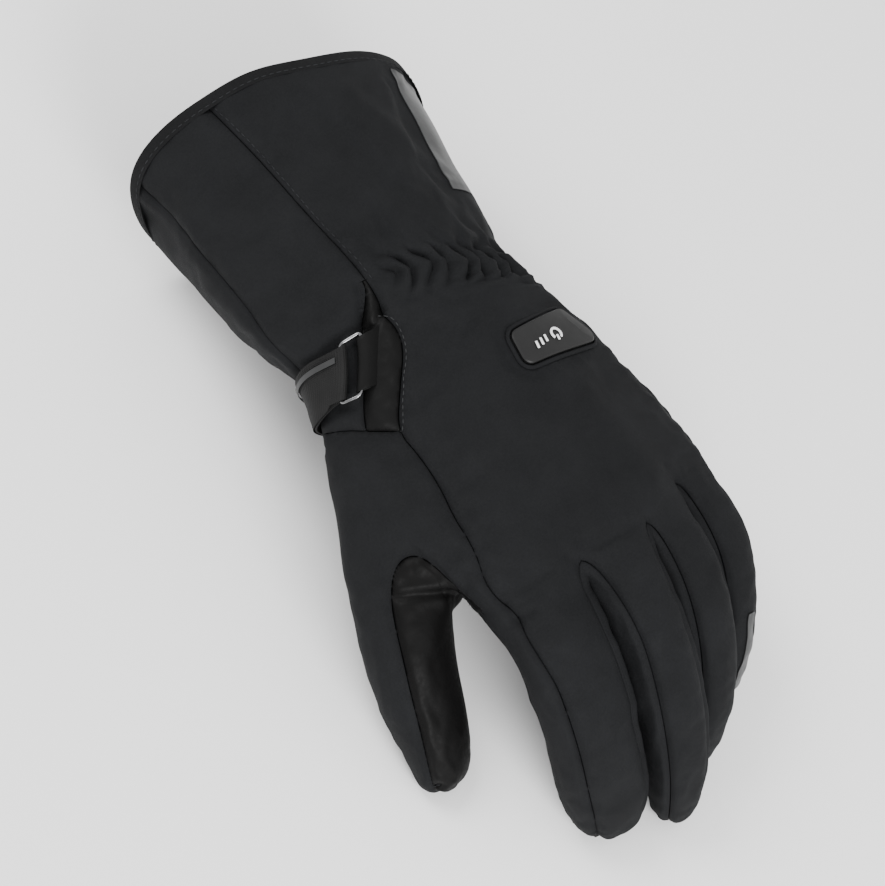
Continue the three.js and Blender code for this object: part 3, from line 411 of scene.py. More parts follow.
def subdivide(points, faces, levels):
    mesh = bpy.data.meshes.new("cage")
    mesh.from_pydata(points.tolist(), [], [face[1] for face in faces])
    names = sorted({face[0] for face in faces})
    mesh.polygons.foreach_set("material_index", [names.index(face[0]) for face in faces])
    for layerName, values in (("place", [uv for face in faces for uv in face[2]]),
                              ("part", [(face[3], 0) for face in faces for _ in range(4)])):
        layer = mesh.uv_layers.new(name=layerName)
        layer.data.foreach_set("uv", np.array(values, float).ravel())
    obj = bpy.data.objects.new("cage", mesh)
    scene.collection.objects.link(obj)
    modifier = obj.modifiers.new("smooth", "SUBSURF")
    modifier.levels = modifier.render_levels = levels
    modifier.use_limit_surface = True
    modifier.uv_smooth = "NONE"
    modifier.boundary_smooth = "ALL"
    fine = evaluatedMesh(obj)
    co = readArray(fine.vertices, "co", 3)
    quads = readArray(fine.loops, "vertex_index", 1, int)
    panel = readArray(fine.polygons, "material_index", 1, int)
    layers = {name: readArray(fine.uv_layers[name].data, "uv", 2) for name in ("place", "part")}
    bpy.data.objects.remove(obj)
    used = np.zeros(len(co), bool)
    used[quads] = True
    return {"co": co, "quads": quads.reshape(-1, 4), "panel": panel, "names": names, "used": used, **layers}


def vertexNormals(co, quads):
    cross = np.cross(co[quads[:, 2]] - co[quads[:, 0]], co[quads[:, 3]] - co[quads[:, 1]])
    total = np.zeros_like(co)
    for i in range(4):
        np.add.at(total, quads[:, i], cross)
    return unit(total)


def onPanels(skin, test):
    # which points touch a panel whose name passes the test
    wanted = np.array([test(name) for name in skin["names"]])[skin["panel"]]
    mask = np.zeros(len(skin["co"]), bool)
    mask[skin["quads"][wanted].ravel()] = True
    return mask


print("shell: cage")
turn = np.array((Matrix.Rotation(math.radians(shell["restPitch"]), 3, "X")
                 @ Matrix.Rotation(math.radians(shell["restRoll"]), 3, "Y")))
handPoints, cageFaces, body, fingerGrids, thumbGrid = buildCage()
cage = handPoints @ turn.T
coarse = subdivide(cage, cageFaces, 1)
coarseFloor = np.where(onPanels(coarse, lambda n: n.startswith("gauntlet")), shell["bindingDepth"], 0)
lowest = (coarse["co"][:, 2] - coarseFloor)[coarse["used"]].min()
thumbTop = coarse["co"][onPanels(coarse, lambda n: n == "thumb_palm")].max(axis=0)
thumbBox = np.array(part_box("thumb_palm")[1]) / mm
placed = np.array([thumbBox[0] - thumbTop[0], thumbBox[1] - thumbTop[1], -lowest - shell["restPress"]])
cage += placed
print("  placed", placed.round(3), "top", round(thumbTop[2] + placed[2] - thumbBox[2], 3))

# Places on the smooth surface, by row and column

def splineWeights(t):
    value = np.array([(1 - t) ** 3, 3 * t ** 3 - 6 * t ** 2 + 4,
                      -3 * t ** 3 + 3 * t ** 2 + 3 * t + 1, t ** 3]) / 6
    slope = np.array([-(1 - t) ** 2, 3 * t ** 2 - 4 * t, -3 * t ** 2 + 2 * t + 1, t ** 2]) / 2
    return value, slope


def surfaceAt(grid, r, c):
    row = min(max(math.floor(r), 0), len(grid) - 2)
    column = math.floor(c)
    alongValue, alongSlope = splineWeights(r - row)
    roundValue, roundSlope = splineWeights(c - column)
    count = len(grid[0])
    control = np.empty((4, 4, 3))
    for i in range(4):
        for j in range(4):
            wrapped = (column + j - 1) % count
            if row + i - 1 >= 0:
                control[i, j] = cage[grid[row + i - 1][wrapped]]
            else:
                control[i, j] = 2 * cage[grid[0][wrapped]] - cage[grid[1][wrapped]]
    point = alongValue @ (roundValue @ control)
    along = alongSlope @ (roundValue @ control)
    around = alongValue @ (roundSlope @ control)
    return point, along, around, unit(np.cross(along, around))


def raisedAt(grid, r, c, height):
    point, _, _, normal = surfaceAt(grid, r, c)
    return point + normal * height


def goRound(r, c, distance):
    parts = 12
    for _ in range(parts):
        c += distance / parts / np.linalg.norm(surfaceAt(body, r, c)[2])
    return c


# The camera at the photograph's angle. The fit gave the hand's line in the picture and a scale.
photo = {
    "width": 885, "height": 886, "azimuth": 30, "elevation": 18, "handLine": (0.62, 0.785),
    "wrist": (421, 335), "scale": 2.62, "distance": 2000, "depth": 10, "sensor": 36,
}


def makeCamera():
    azimuth, elevation = math.radians(photo["azimuth"]), math.radians(photo["elevation"])
    toEye = np.array([math.sin(azimuth) * math.cos(elevation), math.sin(elevation),
                      math.cos(azimuth) * math.cos(elevation)])
    alongHand = unit(np.array([0, 1, 0]) - toEye[1] * toEye)
    acrossHand = -np.cross(alongHand, -toEye)
    acrossHand = acrossHand if acrossHand[0] < 0 else -acrossHand
    lineX, lineY = unit(photo["handLine"])
    right = alongHand * lineX + acrossHand * lineY
    up = -(alongHand * lineY - acrossHand * lineX)
    dx = (photo["width"] / 2 - photo["wrist"][0]) / photo["scale"]
    dy = (photo["height"] / 2 - photo["wrist"][1]) / photo["scale"]
    centre = right * dx - up * dy + toEye * photo["depth"]
    axes = [turn @ axis for axis in (right, up, toEye)]
    middle = turn @ centre + placed
    data = bpy.data.cameras.new("camera")
    data.sensor_width = photo["sensor"]
    data.lens = photo["sensor"] * photo["distance"] * photo["scale"] / photo["height"]
    data.clip_start, data.clip_end = 0.05, 50
    camera = bpy.data.objects.new("camera", data)
    matrix = Matrix([[axes[j][i] for j in range(3)] for i in range(3)]).to_4x4()
    matrix.translation = Vector((middle + axes[2] * photo["distance"]) * mm)
    camera.matrix_world = matrix
    scene.collection.objects.link(camera)
    scene.camera = camera
    return middle, axes


viewMiddle, (viewRight, viewUp, viewBack) = makeCamera()


def towardsEye(px, py):
    # a point far in front of the glove on the line of sight through a place in the photograph
    dx = (px - photo["width"] / 2) / photo["scale"]
    dy = (py - photo["height"] / 2) / photo["scale"]
    eye = viewMiddle + viewBack * photo["distance"]
    spot = viewMiddle + viewRight * dx - viewUp * dy
    return eye, unit(spot - eye)


# Materials

def newMaterial(name, color, roughness, metallic=0.0, specular=0.5):
    material = bpy.data.materials.new(name)
    material.use_nodes = True
    values = {"Base Color": (*color, 1), "Roughness": roughness, "Metallic": metallic,
              "Specular IOR Level": specular}
    for key, value in values.items():
        shaderOf(material).inputs[key].default_value = value
    return material


def node(material, kind, inputs=None, **settings):
    made = material.node_tree.nodes.new(kind)
    for key, value in settings.items():
        setattr(made, key, value)
    for key, value in (inputs or {}).items():
        if isinstance(value, bpy.types.NodeSocket):
            material.node_tree.links.new(value, made.inputs[key])
        else:
            made.inputs[key].default_value = value
    return made


def shaderOf(material):
    return material.node_tree.nodes["Principled BSDF"]


def calculated(material, operation, *values):
    return node(material, "ShaderNodeMath", dict(enumerate(values)), operation=operation).outputs[0]


def shades(color, darker, lighter):
    return tuple(c * darker for c in color), tuple(c * lighter for c in color)


def colourRange(material, factor, dark, light, low=0.3, high=0.7):
    ramp = node(material, "ShaderNodeValToRGB", {"Fac": factor})
    for element, place, color in zip(ramp.color_ramp.elements, (low, high), (dark, light)):
        element.position, element.color = place, (*color, 1)
    material.node_tree.links.new(ramp.outputs["Color"], shaderOf(material).inputs["Base Color"])


def bumps(material, *layers):
    # each layer: height socket, strength, distance in metres
    normal = None
    for height, strength, distance in layers:
        inputs = {"Height": height, "Strength": strength, "Distance": distance}
        if normal is not None:
            inputs["Normal"] = normal
        normal = node(material, "ShaderNodeBump", inputs).outputs["Normal"]
    material.node_tree.links.new(normal, shaderOf(material).inputs["Normal"])


def roughRange(material, factor, low, high):
    spread = node(material, "ShaderNodeMapRange", {"Value": factor, "To Min": low, "To Max": high})
    material.node_tree.links.new(spread.outputs["Result"], shaderOf(material).inputs["Roughness"])


def objectPlace(material):
    return node(material, "ShaderNodeTexCoord").outputs["Object"]


def noise(material, place, scale, detail=2.0, rough=0.5):
    inputs = {"Vector": place, "Scale": scale, "Detail": detail, "Roughness": rough}
    return node(material, "ShaderNodeTexNoise", inputs).outputs["Fac"]


def weave(material, place, pitch):
    # woven relief on the three main planes, blended by the way the surface faces
    scaled = node(material, "ShaderNodeVectorMath", {0: place}, operation="SCALE")
    scaled.inputs["Scale"].default_value = 2 * math.pi / (pitch * mm)
    waves = node(material, "ShaderNodeVectorMath", {0: scaled.outputs[0]}, operation="SINE")
    wave = node(material, "ShaderNodeSeparateXYZ", {0: waves.outputs[0]}).outputs
    faced = node(material, "ShaderNodeNewGeometry").outputs["Normal"]
    squared = node(material, "ShaderNodeVectorMath", {0: faced, 1: faced}, operation="MULTIPLY")
    share = node(material, "ShaderNodeSeparateXYZ", {0: squared.outputs[0]}).outputs
    total = None
    for a, b, way in ((0, 1, 2), (1, 2, 0), (2, 0, 1)):
        crossed = calculated(material, "MULTIPLY", wave[a], wave[b])
        part = calculated(material, "MULTIPLY", crossed, share[way])
        total = part if total is None else calculated(material, "ADD", total, part)
    return total


def softshellCloth(name, color, pitch=0.55):
    cloth = newMaterial(name, color, 0.8, specular=0.12)
    place = objectPlace(cloth)
    mottle = calculated(cloth, "ADD", noise(cloth, place, 45, 4), noise(cloth, place, 1400, 2))
    colourRange(cloth, calculated(cloth, "MULTIPLY", mottle, 0.5), *shades(color, 0.78, 1.24), 0.35, 0.65)
    roughRange(cloth, noise(cloth, place, 160, 3), 0.74, 0.88)
    bumps(cloth, (noise(cloth, place, 90, 4), 0.4, 0.0012), (noise(cloth, place, 1200, 2), 0.35, 0.00025),
          (weave(cloth, place, pitch), 0.5, 0.00014))
    return cloth


def grainLeather(name, color):
    leather = newMaterial(name, color, 0.55, specular=0.1)
    place = objectPlace(leather)
    bent = node(leather, "ShaderNodeTexNoise", {"Vector": place, "Scale": 500.0, "Detail": 2.0})
    shifted = node(leather, "ShaderNodeVectorMath", {0: bent.outputs["Color"], 1: (0.0012, 0.0012, 0.0012)},
                   operation="MULTIPLY")
    warped = node(leather, "ShaderNodeVectorMath", {0: place, 1: shifted.outputs[0]}, operation="ADD")
    pebbles = node(leather, "ShaderNodeTexVoronoi", {"Vector": warped.outputs[0], "Scale": 780.0},
                   feature="SMOOTH_F1")
    colourRange(leather, noise(leather, place, 60, 5), *shades(color, 0.75, 1.35))
    roughRange(leather, pebbles.outputs["Distance"], 0.48, 0.68)
    bumps(leather, (noise(leather, place, 110, 4), 0.3, 0.0014), (pebbles.outputs["Distance"], -0.5, 0.0003))
    return leather


def wovenBand(name, color, ribPitch, yarnPitch=0.8):
    # ribs across the band and yarns along it, read from its own map in millimetres
    band = newMaterial(name, color, 0.7, specular=0.2)
    place = node(band, "ShaderNodeUVMap", uv_map="clothMap").outputs["UV"]
    along = node(band, "ShaderNodeSeparateXYZ", {0: place}).outputs
    ribs, yarns = (calculated(band, "SINE", calculated(band, "MULTIPLY", way, 2 * math.pi / pitch))
                   for way, pitch in ((along[0], ribPitch), (along[1], yarnPitch)))
    colourRange(band, noise(band, objectPlace(band), 90, 4), *shades(color, 0.8, 1.25))
    bumps(band, (ribs, 0.35, 0.00015), (yarns, 0.35, 0.0001))
    return band


def brushedSteel(name):
    steel = newMaterial(name, (0.16, 0.16, 0.165), 0.3, metallic=1.0)
    place = objectPlace(steel)
    roughRange(steel, noise(steel, place, 900, 3), 0.16, 0.34)
    colourRange(steel, noise(steel, place, 220, 3), (0.12, 0.12, 0.123), (0.22, 0.22, 0.225))
    return steel


def mouldedRubber(name, color):
    rubber = newMaterial(name, color, 0.5, specular=0.3)
    place = objectPlace(rubber)
    colourRange(rubber, noise(rubber, place, 120, 4), *shades(color, 0.85, 1.2))
    roughRange(rubber, noise(rubber, place, 400, 3), 0.44, 0.6)
    bumps(rubber, (noise(rubber, place, 2600, 2), 0.12, 0.0001))
    return rubber


def beadedReflector(name):
    # glass beads under a clear film: grey by plain light, with a fine honeycomb
    film = newMaterial(name, (0.024, 0.0245, 0.025), 0.45, metallic=0.1, specular=0.3)
    place = objectPlace(film)
    cells = node(film, "ShaderNodeTexVoronoi", {"Vector": place, "Scale": 900.0}, feature="DISTANCE_TO_EDGE")
    colourRange(film, noise(film, place, 70, 3), (0.018, 0.0183, 0.0187), (0.03, 0.0306, 0.0312))
    bumps(film, (cells.outputs["Distance"], 0.25, 0.0001))
    roughRange(film, noise(film, place, 500, 2), 0.36, 0.5)
    return film


def printedInk(name):
    ink = newMaterial(name, (0.8, 0.8, 0.8), 0.45)
    place = objectPlace(ink)
    colourRange(ink, noise(ink, place, 800, 3), (0.72, 0.72, 0.72), (0.85, 0.85, 0.85))
    bumps(ink, (noise(ink, place, 1500, 2), 0.1, 0.0001))
    return ink


softshell = softshellCloth("softshell", (0.0066, 0.0069, 0.0076))
# The elastic cloth is the softshell cloth a shade darker: painted shade of the gathers' folds
elasticCloth = softshellCloth("elasticCloth", (0.0062, 0.0065, 0.0071), 0.5)
# The leather's own black, darkened further as painted shade of the thumb's side that faces away from the
# light
palmLeather = grainLeather("palmLeather", (0.0017, 0.0016, 0.0016))
patchHide = grainLeather("patchHide", (0.0026, 0.0026, 0.0026))
bindingTape = softshellCloth("bindingTape", (0.0052, 0.0053, 0.0057), 0.7)
strapWebbing = wovenBand("strapWebbing", (0.0046, 0.0046, 0.0046), 1.0)
ringSteel = brushedSteel("ringSteel")
buttonRubber = mouldedRubber("buttonRubber", (0.0056, 0.0056, 0.0056))
whiteInk = printedInk("whiteInk")
reflectiveFilm = beadedReflector("reflectiveFilm")
seamThread = softshellCloth("seamThread", (0.0165, 0.0172, 0.0185), 0.4)
patchThread = softshellCloth("patchThread", (0.0280, 0.0290, 0.0300), 0.4)


# Shell relief: seams sink in, the padding swells beside them, and the wrist is gathered

relief = {
    "seamDepth": 0.9, "seamWidth": 1.7, "pillow": 0.3, "pillowAt": 5.0, "pillowWidth": 3.0,
    "pucker": 0.42, "puckerLength": 9, "puckerReach": 6, "puckerFrom": 1.2, "calmFrom": 630, "calm": 0.3,
    "swell": 0.35, "swellLength": 46, "swellFrom": 9,
}

print("shell: surface")
skin = subdivide(cage, cageFaces, shell["levels"])
floorOf = np.where(onPanels(skin, lambda n: n.startswith("gauntlet")), shell["bindingDepth"], 0.0)
skin["co"][:, 2] = np.maximum(skin["co"][:, 2], floorOf)
base = skin["co"].copy()
plainBase = base.copy()
skin["names"].append("wrist_side")
panelIds = {name: i for i, name in enumerate(skin["names"])}


def photoPlaces(points):
    # where points in the frame appear in the photograph
    away = points - (viewMiddle + viewBack * photo["distance"])
    depth = -(away @ viewBack) / photo["distance"] / photo["scale"]
    px = photo["width"] / 2 + away @ viewRight / depth
    py = photo["height"] / 2 - away @ viewUp / depth
    return np.stack([px, py], 1)


# How far the smooth shell is drawn over, in the photograph: where, and how far right and down.
outlineFit = {
    "reach": 52, "stiff": 0.12,
    "places": [
        (141, 190, -10, -2), (165, 145, -9, -6), (187, 120, -7, -8), (255, 80, -6, -10), (350, 59, 0, -9),
        (405, 80, -2, -9), (161, 240, -5, 3), (183, 262, -8, 7), (230, 310, -10, 9), (275, 345, -8, 8),
        (427, 120, 4, -1), (450, 160, 3, 0), (466, 200, 7, -3), (478, 224, 8, -4), (489, 240, 5, -2),
        (504, 262, 4, -2), (516, 282, 9, -10), (543, 300, 6, -7), (578, 322, 3, -4), (610, 350, 0, 0),
        (345, 560, -7, 0), (357, 600, -7, 0), (365, 640, -7, 0), (375, 680, -6, 0), (390, 720, -4, 0),
        (408, 762, 0, 1), (438, 789, -3, 3), (464, 636, -9, -2), (469, 671, -9, 0), (473, 706, -6, 0),
        (475, 750, -6, 0), (467, 604, -11, -10), (488, 611, -8, 2), (510, 632, -9, 7), (527, 660, -10, 5),
        (542, 692, -13, 3), (552, 724, -12, 2), (563, 756, -13, 2), (572, 792, -12, 0), (583, 826, -5, 0),
        (596, 572, -12, -13), (657, 532, -9, -9), (689, 493, -12, -12), (625, 640, 0, 0), (660, 620, 0, 0),
        (640, 720, 0, 0), (610, 790, 0, 0), (700, 620, 0, 0), (655, 820, 5, 3), (745, 680, 0, 0),
        (752, 570, 2, 0), (735, 500, 3, 0), (690, 435, 3, 0), (508, 336, -2, 0), (545, 345, 0, 0),
        (590, 345, 0, 0), (560, 400, 0, 0), (500, 500, 0, 0), (430, 400, 0, 0), (345, 345, 0, 0),
        (345, 405, 0, 0), (305, 385, 0, 0), (380, 370, 0, 0), (330, 432, 0, 0), (335, 480, -3, 0),
        (320, 180, 0, 0), (600, 470, 0, 0), (390, 560, 0, 0),
    ],
}
fitTable = np.array(outlineFit["places"], float)
fitSpots, fitShifts = fitTable[:, :2], fitTable[:, 2:]


def fitSpread(places):
    return np.exp(-((places[:, None] - fitSpots[None]) ** 2).sum(axis=2) / outlineFit["reach"] ** 2)


fitWeights = np.linalg.solve(fitSpread(fitSpots) + outlineFit["stiff"] * np.eye(len(fitSpots)), fitShifts)


def fitted(points):
    # level shifts only, so what lies on the floor stays on it
    shift = fitSpread(photoPlaces(points)) @ fitWeights * (1, -1) / photo["scale"]
    moved = points.copy()
    moved[:, :2] += shift @ np.linalg.inv(np.stack([viewRight[:2], viewUp[:2]])).T
    return moved


base = fitted(plainBase)
skin["normal"] = vertexNormals(base, skin["quads"])
print("  fitted by up to", np.linalg.norm(base - plainBase, axis=1).max().round(2))


def insideOutline(places, outline):
    # even-odd test of many places against one closed outline
    x, y = places[:, 0], places[:, 1]
    inside = np.zeros(len(places), bool)
    for (x0, y0), (x1, y1) in zip(outline, outline[1:] + outline[:1]):
        if y0 != y1:
            crosses = (y0 > y) != (y1 > y)
            inside ^= crosses & (x < (x1 - x0) * (y - y0) / (y1 - y0) + x0)
    return inside


def nearestOnPath(places, path):
    path = np.array(path, float)
    best, gap = np.zeros_like(places), np.full(len(places), 1e9)
    for a, b in zip(path[:-1], path[1:]):
        t = np.clip(((places - a) @ (b - a)) / ((b - a) @ (b - a)), 0, 1)
        spot = a + t[:, None] * (b - a)
        distance = np.linalg.norm(places - spot, axis=1)
        closer = distance < gap
        best[closer], gap[closer] = spot[closer], distance[closer]
    return best, gap


def roundedPath(points, rounds=3):
    path = np.array(points, float)
    for _ in range(rounds):
        cut = np.empty((2 * (len(path) - 1), 2))
        cut[0::2] = 0.75 * path[:-1] + 0.25 * path[1:]
        cut[1::2] = 0.25 * path[:-1] + 0.75 * path[1:]
        path = np.concatenate([path[:1], cut, path[-1:]])
    return path


def borderOf(one, other):
    # points shared by faces of both panels
    masks = []
    for name in (one, other):
        mask = np.zeros(len(base), bool)
        mask[skin["quads"][skin["panel"] == panelIds[name]].ravel()] = True
        masks.append(mask)
    return np.nonzero(masks[0] & masks[1])[0]


def redrawSeam(path, closing, window, names, decide, reach=6):
    # moves the seams between the named panels onto a path in the photograph
    path = roundedPath(path)
    low, high = np.array(window, float)
    places = photoPlaces(base[skin["quads"]].mean(axis=1))
    facing = unit(skin["normal"][skin["quads"]].mean(axis=1)) @ viewBack > 0.1
    among = np.isin(skin["panel"], [panelIds[name] for name in names])
    chosen = facing & among & (places > low).all(1) & (places < high).all(1)
    inside = insideOutline(places, [tuple(p) for p in path] + closing)
    decide(chosen & inside, chosen & ~inside, places)
    border = set()
    for i, one in enumerate(names):
        for other in names[i + 1:]:
            border.update(borderOf(one, other).tolist())
    border = np.array(sorted(border))
    spots, gap = nearestOnPath(photoPlaces(base[border]), path)
    for i, spot, distance in zip(border, spots, gap):
        if distance < reach and skin["normal"][i] @ viewBack > 0.1:
            eye, way = towardsEye(*spot)
            hit = baseTree.ray_cast(Vector(eye), Vector(way))[0]
            if hit is not None and np.linalg.norm(np.array(hit) - base[i]) < 3:
                base[i] = hit


# Seams by their places in the photograph: the arch over the thumb's leather, the black patch's edge
# with the seam that runs on from it to the index finger, and the patch's foot.
thumbArch = [(433, 790), (426, 760), (419, 728), (411, 696), (403, 660), (394, 622), (391, 600), (392, 577),
             (399, 562), (409, 556), (421, 557), (434, 567), (446, 579), (458, 592)]
handSeam = [(398, 329), (404, 349), (400, 387), (397, 431), (418, 454), (439, 485), (454, 518), (469, 541),
            (478, 561), (483, 579), (490, 591), (500, 602), (513, 611), (520, 622), (524, 633), (531, 646),
            (545, 668), (558, 689), (568, 717), (576, 742), (583, 767), (589, 796), (594, 817), (597, 833)]
patchFoot = [(322, 434), (345, 430), (370, 431), (398, 431)]


def sides(insideName, outsideName):
    def decide(inside, outside, places):
        skin["panel"][inside] = panelIds[insideName]
        skin["panel"][outside] = panelIds[outsideName]

    return decide


def handSides(inside, outside, places):
    # the hand's back gives up what lies inside: above the patch's foot to the patch, below to the thumb
    gained = inside & (skin["panel"] == panelIds["hand_back"])
    above = places[:, 1] < patchFoot[-1][1]
    skin["panel"][gained & above] = panelIds["wrist_patch"]
    skin["panel"][gained & ~above] = panelIds["thumb_back"]
    skin["panel"][outside] = panelIds["hand_back"]


# The black patch ends at the ring's bar and narrows to the top of the gathers; cloth lies beside it.
patchEdge = {"top": 19.93, "bar": 19.58, "from": 5.0, "to": 6.2}


def redrawPatch():
    chosen = skin["panel"] == panelIds["wrist_patch"]
    place = skin["place"].reshape(-1, 4, 2)[chosen].copy()
    place[:, :, 0] += np.where(place[:, :, 0] < len(columns) / 2, len(columns), 0)
    middle = place.mean(axis=1)

    def edgeAt(r):
        return mix(patchEdge["top"], patchEdge["bar"], smoothStep(r, patchEdge["from"], patchEdge["to"]))

    beside = middle[:, 0] < edgeAt(middle[:, 1])
    ids = np.nonzero(chosen)[0]
    skin["panel"][ids[beside]] = panelIds["wrist_side"]
    border = borderOf("wrist_patch", "wrist_side")
    columnOf = {}
    for face, corners in zip(skin["quads"][ids], place):
        for i, (c, r) in zip(face, corners):
            columnOf[int(i)] = (c, r)
    for i in border:
        c, r = columnOf[int(i)]
        spot = fitted(surfaceAt(body, r, float(edgeAt(r)))[0][None])[0]
        if np.linalg.norm(spot - base[i]) < 2:
            base[i] = spot


baseTree = BVHTree.FromPolygons(base.tolist(), skin["quads"].tolist())
redrawSeam(thumbArch, [(490, 620), (490, 800)], [(374, 535), (480, 786)], ["thumb_back", "thumb_palm"],
           sides("thumb_palm", "thumb_back"))
seamStart = tuple(photoPlaces(fitted(surfaceAt(body, rowAt["gatherFoot"], 0)[0][None]))[0])
redrawSeam([seamStart] + handSeam, [(300, handSeam[-1][1]), (300, seamStart[1])],
           [(seamStart[0] - 2, seamStart[1]), (610, 822)],
           ["hand_back", "wrist_patch", "thumb_back"], handSides)
redrawSeam(patchFoot, [(410, 431), (410, 470), (322, 470)], [(322, 400), (400, 465)],
           ["wrist_patch", "thumb_back"], sides("thumb_back", "wrist_patch"))
redrawPatch()


def edgeTable(quads, panel):
    a = quads.ravel()
    b = np.roll(quads, -1, axis=1).ravel()
    face = np.repeat(np.arange(len(quads)), 4)
    low, high = np.minimum(a, b), np.maximum(a, b)
    order = np.lexsort((high, low))
    low, high, face = low[order], high[order], face[order]
    same = (low[1:] == low[:-1]) & (high[1:] == high[:-1])
    first = np.nonzero(same)[0]
    pairs = np.stack([low[first], high[first]], 1)
    sides = np.stack([panel[face[first]], panel[face[first + 1]]], 1)
    lone = np.ones(len(low), bool)
    lone[first] = lone[first + 1] = False
    return pairs, sides, np.stack([low[lone], high[lone]], 1)


innerEdges, edgeSides, rimEdges = edgeTable(skin["quads"], skin["panel"])
seamMask = edgeSides[:, 0] != edgeSides[:, 1]
seamEdges, seamSides = innerEdges[seamMask], edgeSides[seamMask]


# Where the cloth simply runs on from one CAD panel to the next there is no seam to see.
flushPairs = [("elastic_gathers", "gauntlet_back"), ("elastic_gathers", "hand_back"),
              ("gauntlet_side", "wrist_side")]


def betweenPanels(one, other):
    # which seam edges lie between two panels
    return (np.sort(seamSides, axis=1) == sorted((panelIds[one], panelIds[other]))).all(axis=1)


flushMask = np.any([betweenPanels(*pair) for pair in flushPairs], axis=0)
sewnPoints = np.unique(seamEdges[~flushMask])
flushKeys = {tuple(sorted(edge)) for edge in seamEdges[flushMask].tolist()}
flushOnly = np.setdiff1d(np.unique(seamEdges[flushMask]), sewnPoints)


def chainEdges(edges):
    # orders edges into runs of points; a closed run ends where it began
    links = {}
    for a, b in edges:
        links.setdefault(int(a), []).append(int(b))
        links.setdefault(int(b), []).append(int(a))
    left = {tuple(sorted((int(a), int(b)))) for a, b in edges}
    runs = []
    starts = [p for p in links if len(links[p]) != 2] + list(links)
    for start in starts:
        for after in links[start]:
            key = tuple(sorted((start, after)))
            if key not in left:
                continue
            left.remove(key)
            run = [start, after]
            while len(links[run[-1]]) == 2:
                a, b = links[run[-1]]
                onward = a if b == run[-2] else b
                key = tuple(sorted((run[-1], onward)))
                if key not in left:
                    break
                left.remove(key)
                run.append(onward)
            runs.append(run)
    return runs


def seamRuns(one, other):
    return chainEdges(seamEdges[betweenPanels(one, other)])


# The wrist's gathers. Across they run from 0 at the thumb's seam to 1 at the outer side, and down from 0 to
# 1 between the stitch lines.
gathers = {
    "depth": 5.6, "count": 10, "shift": ([0, 0.3, 0.6, 0.8, 1], [-0.35, -0.22, 0.1, 0.35, 0.35]),
    "slant": 1.25, "wander": 0.16, "teeth": 0.5, "halfBand": 0.62, "folds": 0.26, "foldsReach": 0.8,
    "sweep": 0.2, "sweepReach": 0.45,
}


def gatherRelief(skin):
    # two rows of slanting puckers, with long folds that fade into the cloth above and below them
    place = np.zeros((len(skin["co"]), 2))
    onBody = np.zeros(len(skin["co"]), bool)
    loops = skin["quads"].ravel()
    chosen = skin["part"][:, 0] > 0.5
    place[loops[chosen]] = skin["place"][chosen]
    onBody[loops[chosen]] = True
    c, r = place[:, 0] % len(columns), place[:, 1]
    u = c / at["outerSide"]
    v = r - rowAt["gatherTop"] - np.interp(u, *gathers["shift"])
    fade = smoothStep(u, 0.02, 0.16) * smoothStep(1 - u, 0, 0.05)
    uneven = ripple(base, 13, 41)
    turns = gathers["count"] * u + np.abs(v - 0.5) * gathers["slant"] + gathers["wander"] * uneven
    sharp = np.abs(np.sin(math.pi * turns)) ** 0.75 * 2 - 1.15
    band = np.exp(-(np.abs(v - 0.5) / gathers["halfBand"]) ** 4)
    teeth = sharp * band * (0.8 + 0.35 * ripple(base, 17, 43))
    above = np.exp(-np.clip(0.1 - v, 0, 9) / gathers["foldsReach"]) * smoothStep(0.35 - v, 0, 0.5)
    folds = np.sin(2 * math.pi * (gathers["count"] * 0.75 * u + 0.35 * uneven)) * above
    folds *= 0.35 + 0.65 * smoothStep(u, 0.2, 0.6)
    below = np.exp(-np.clip(v - 0.9, 0, 9) / gathers["sweepReach"]) * smoothStep(v - 0.7, 0, 0.4)
    sweep = np.sin(2 * math.pi * (2.6 * v + 3.2 * u + 0.3 * uneven)) * below * smoothStep(u, 0.25, 0.5)
    total = gathers["teeth"] * teeth + gathers["folds"] * folds + gathers["sweep"] * sweep
    return np.where(onBody & (u < 1), gathers["depth"] * total * fade, 0)


# Single creases and ridges, along paths in the photograph: path, height (below zero sinks), half width.
creases = [
    ([(398, 597), (415, 595), (432, 594), (444, 593)], -1.5, 4.5),
    ([(398, 588), (415, 586), (430, 585), (440, 584)], 0.9, 6),
    ([(360, 288), (362, 310), (367, 336)], -2.2, 4.5),
    ([(382, 310), (376, 324), (369, 338)], -1.8, 3.5),
    ([(370, 300), (369, 318)], 0.9, 5),
    ([(516, 619), (524, 616), (533, 611)], -1.3, 4),
    ([(506, 606), (520, 605)], -0.8, 4),
    ([(508, 626), (519, 624)], -0.7, 4),
    ([(349, 94), (381, 120), (419, 148), (451, 176)], 1.0, 11),
    ([(366, 93), (395, 116), (430, 143), (458, 168)], -0.6, 9),
    ([(663, 465), (676, 480), (690, 496)], -0.8, 3.5),
    ([(378, 205), (384, 232), (380, 256)], -0.9, 8),
    ([(582, 548), (581, 540)], -0.5, 4),
    ([(463, 532), (478, 528), (492, 520)], -0.6, 6),
]
# Padding that closes the slot between two fingers, on both of its sides: path, height, half width.
slotFill = ([(600, 600), (610, 630), (620, 660), (634, 700)], 1.5, 13)
# The black patch swells beside the ring: middle and half size in the photograph, height.
patchSwell = {"middle": (379, 372), "half": (17, 40), "height": 1.5}
facingPhoto = smoothStep(skin["normal"] @ viewBack, 0.05, 0.3)
basePlaces = photoPlaces(base)


def ridge(path, height, width):
    gap = nearestOnPath(basePlaces, roundedPath(path, 2))[1]
    return height * np.exp(-(gap / width) ** 2)


def creaseRelief():
    sideways = 1 - smoothStep(np.abs(skin["normal"] @ viewBack), 0.45, 0.8)
    return sum(ridge(*crease) for crease in creases) * facingPhoto + ridge(*slotFill) * sideways


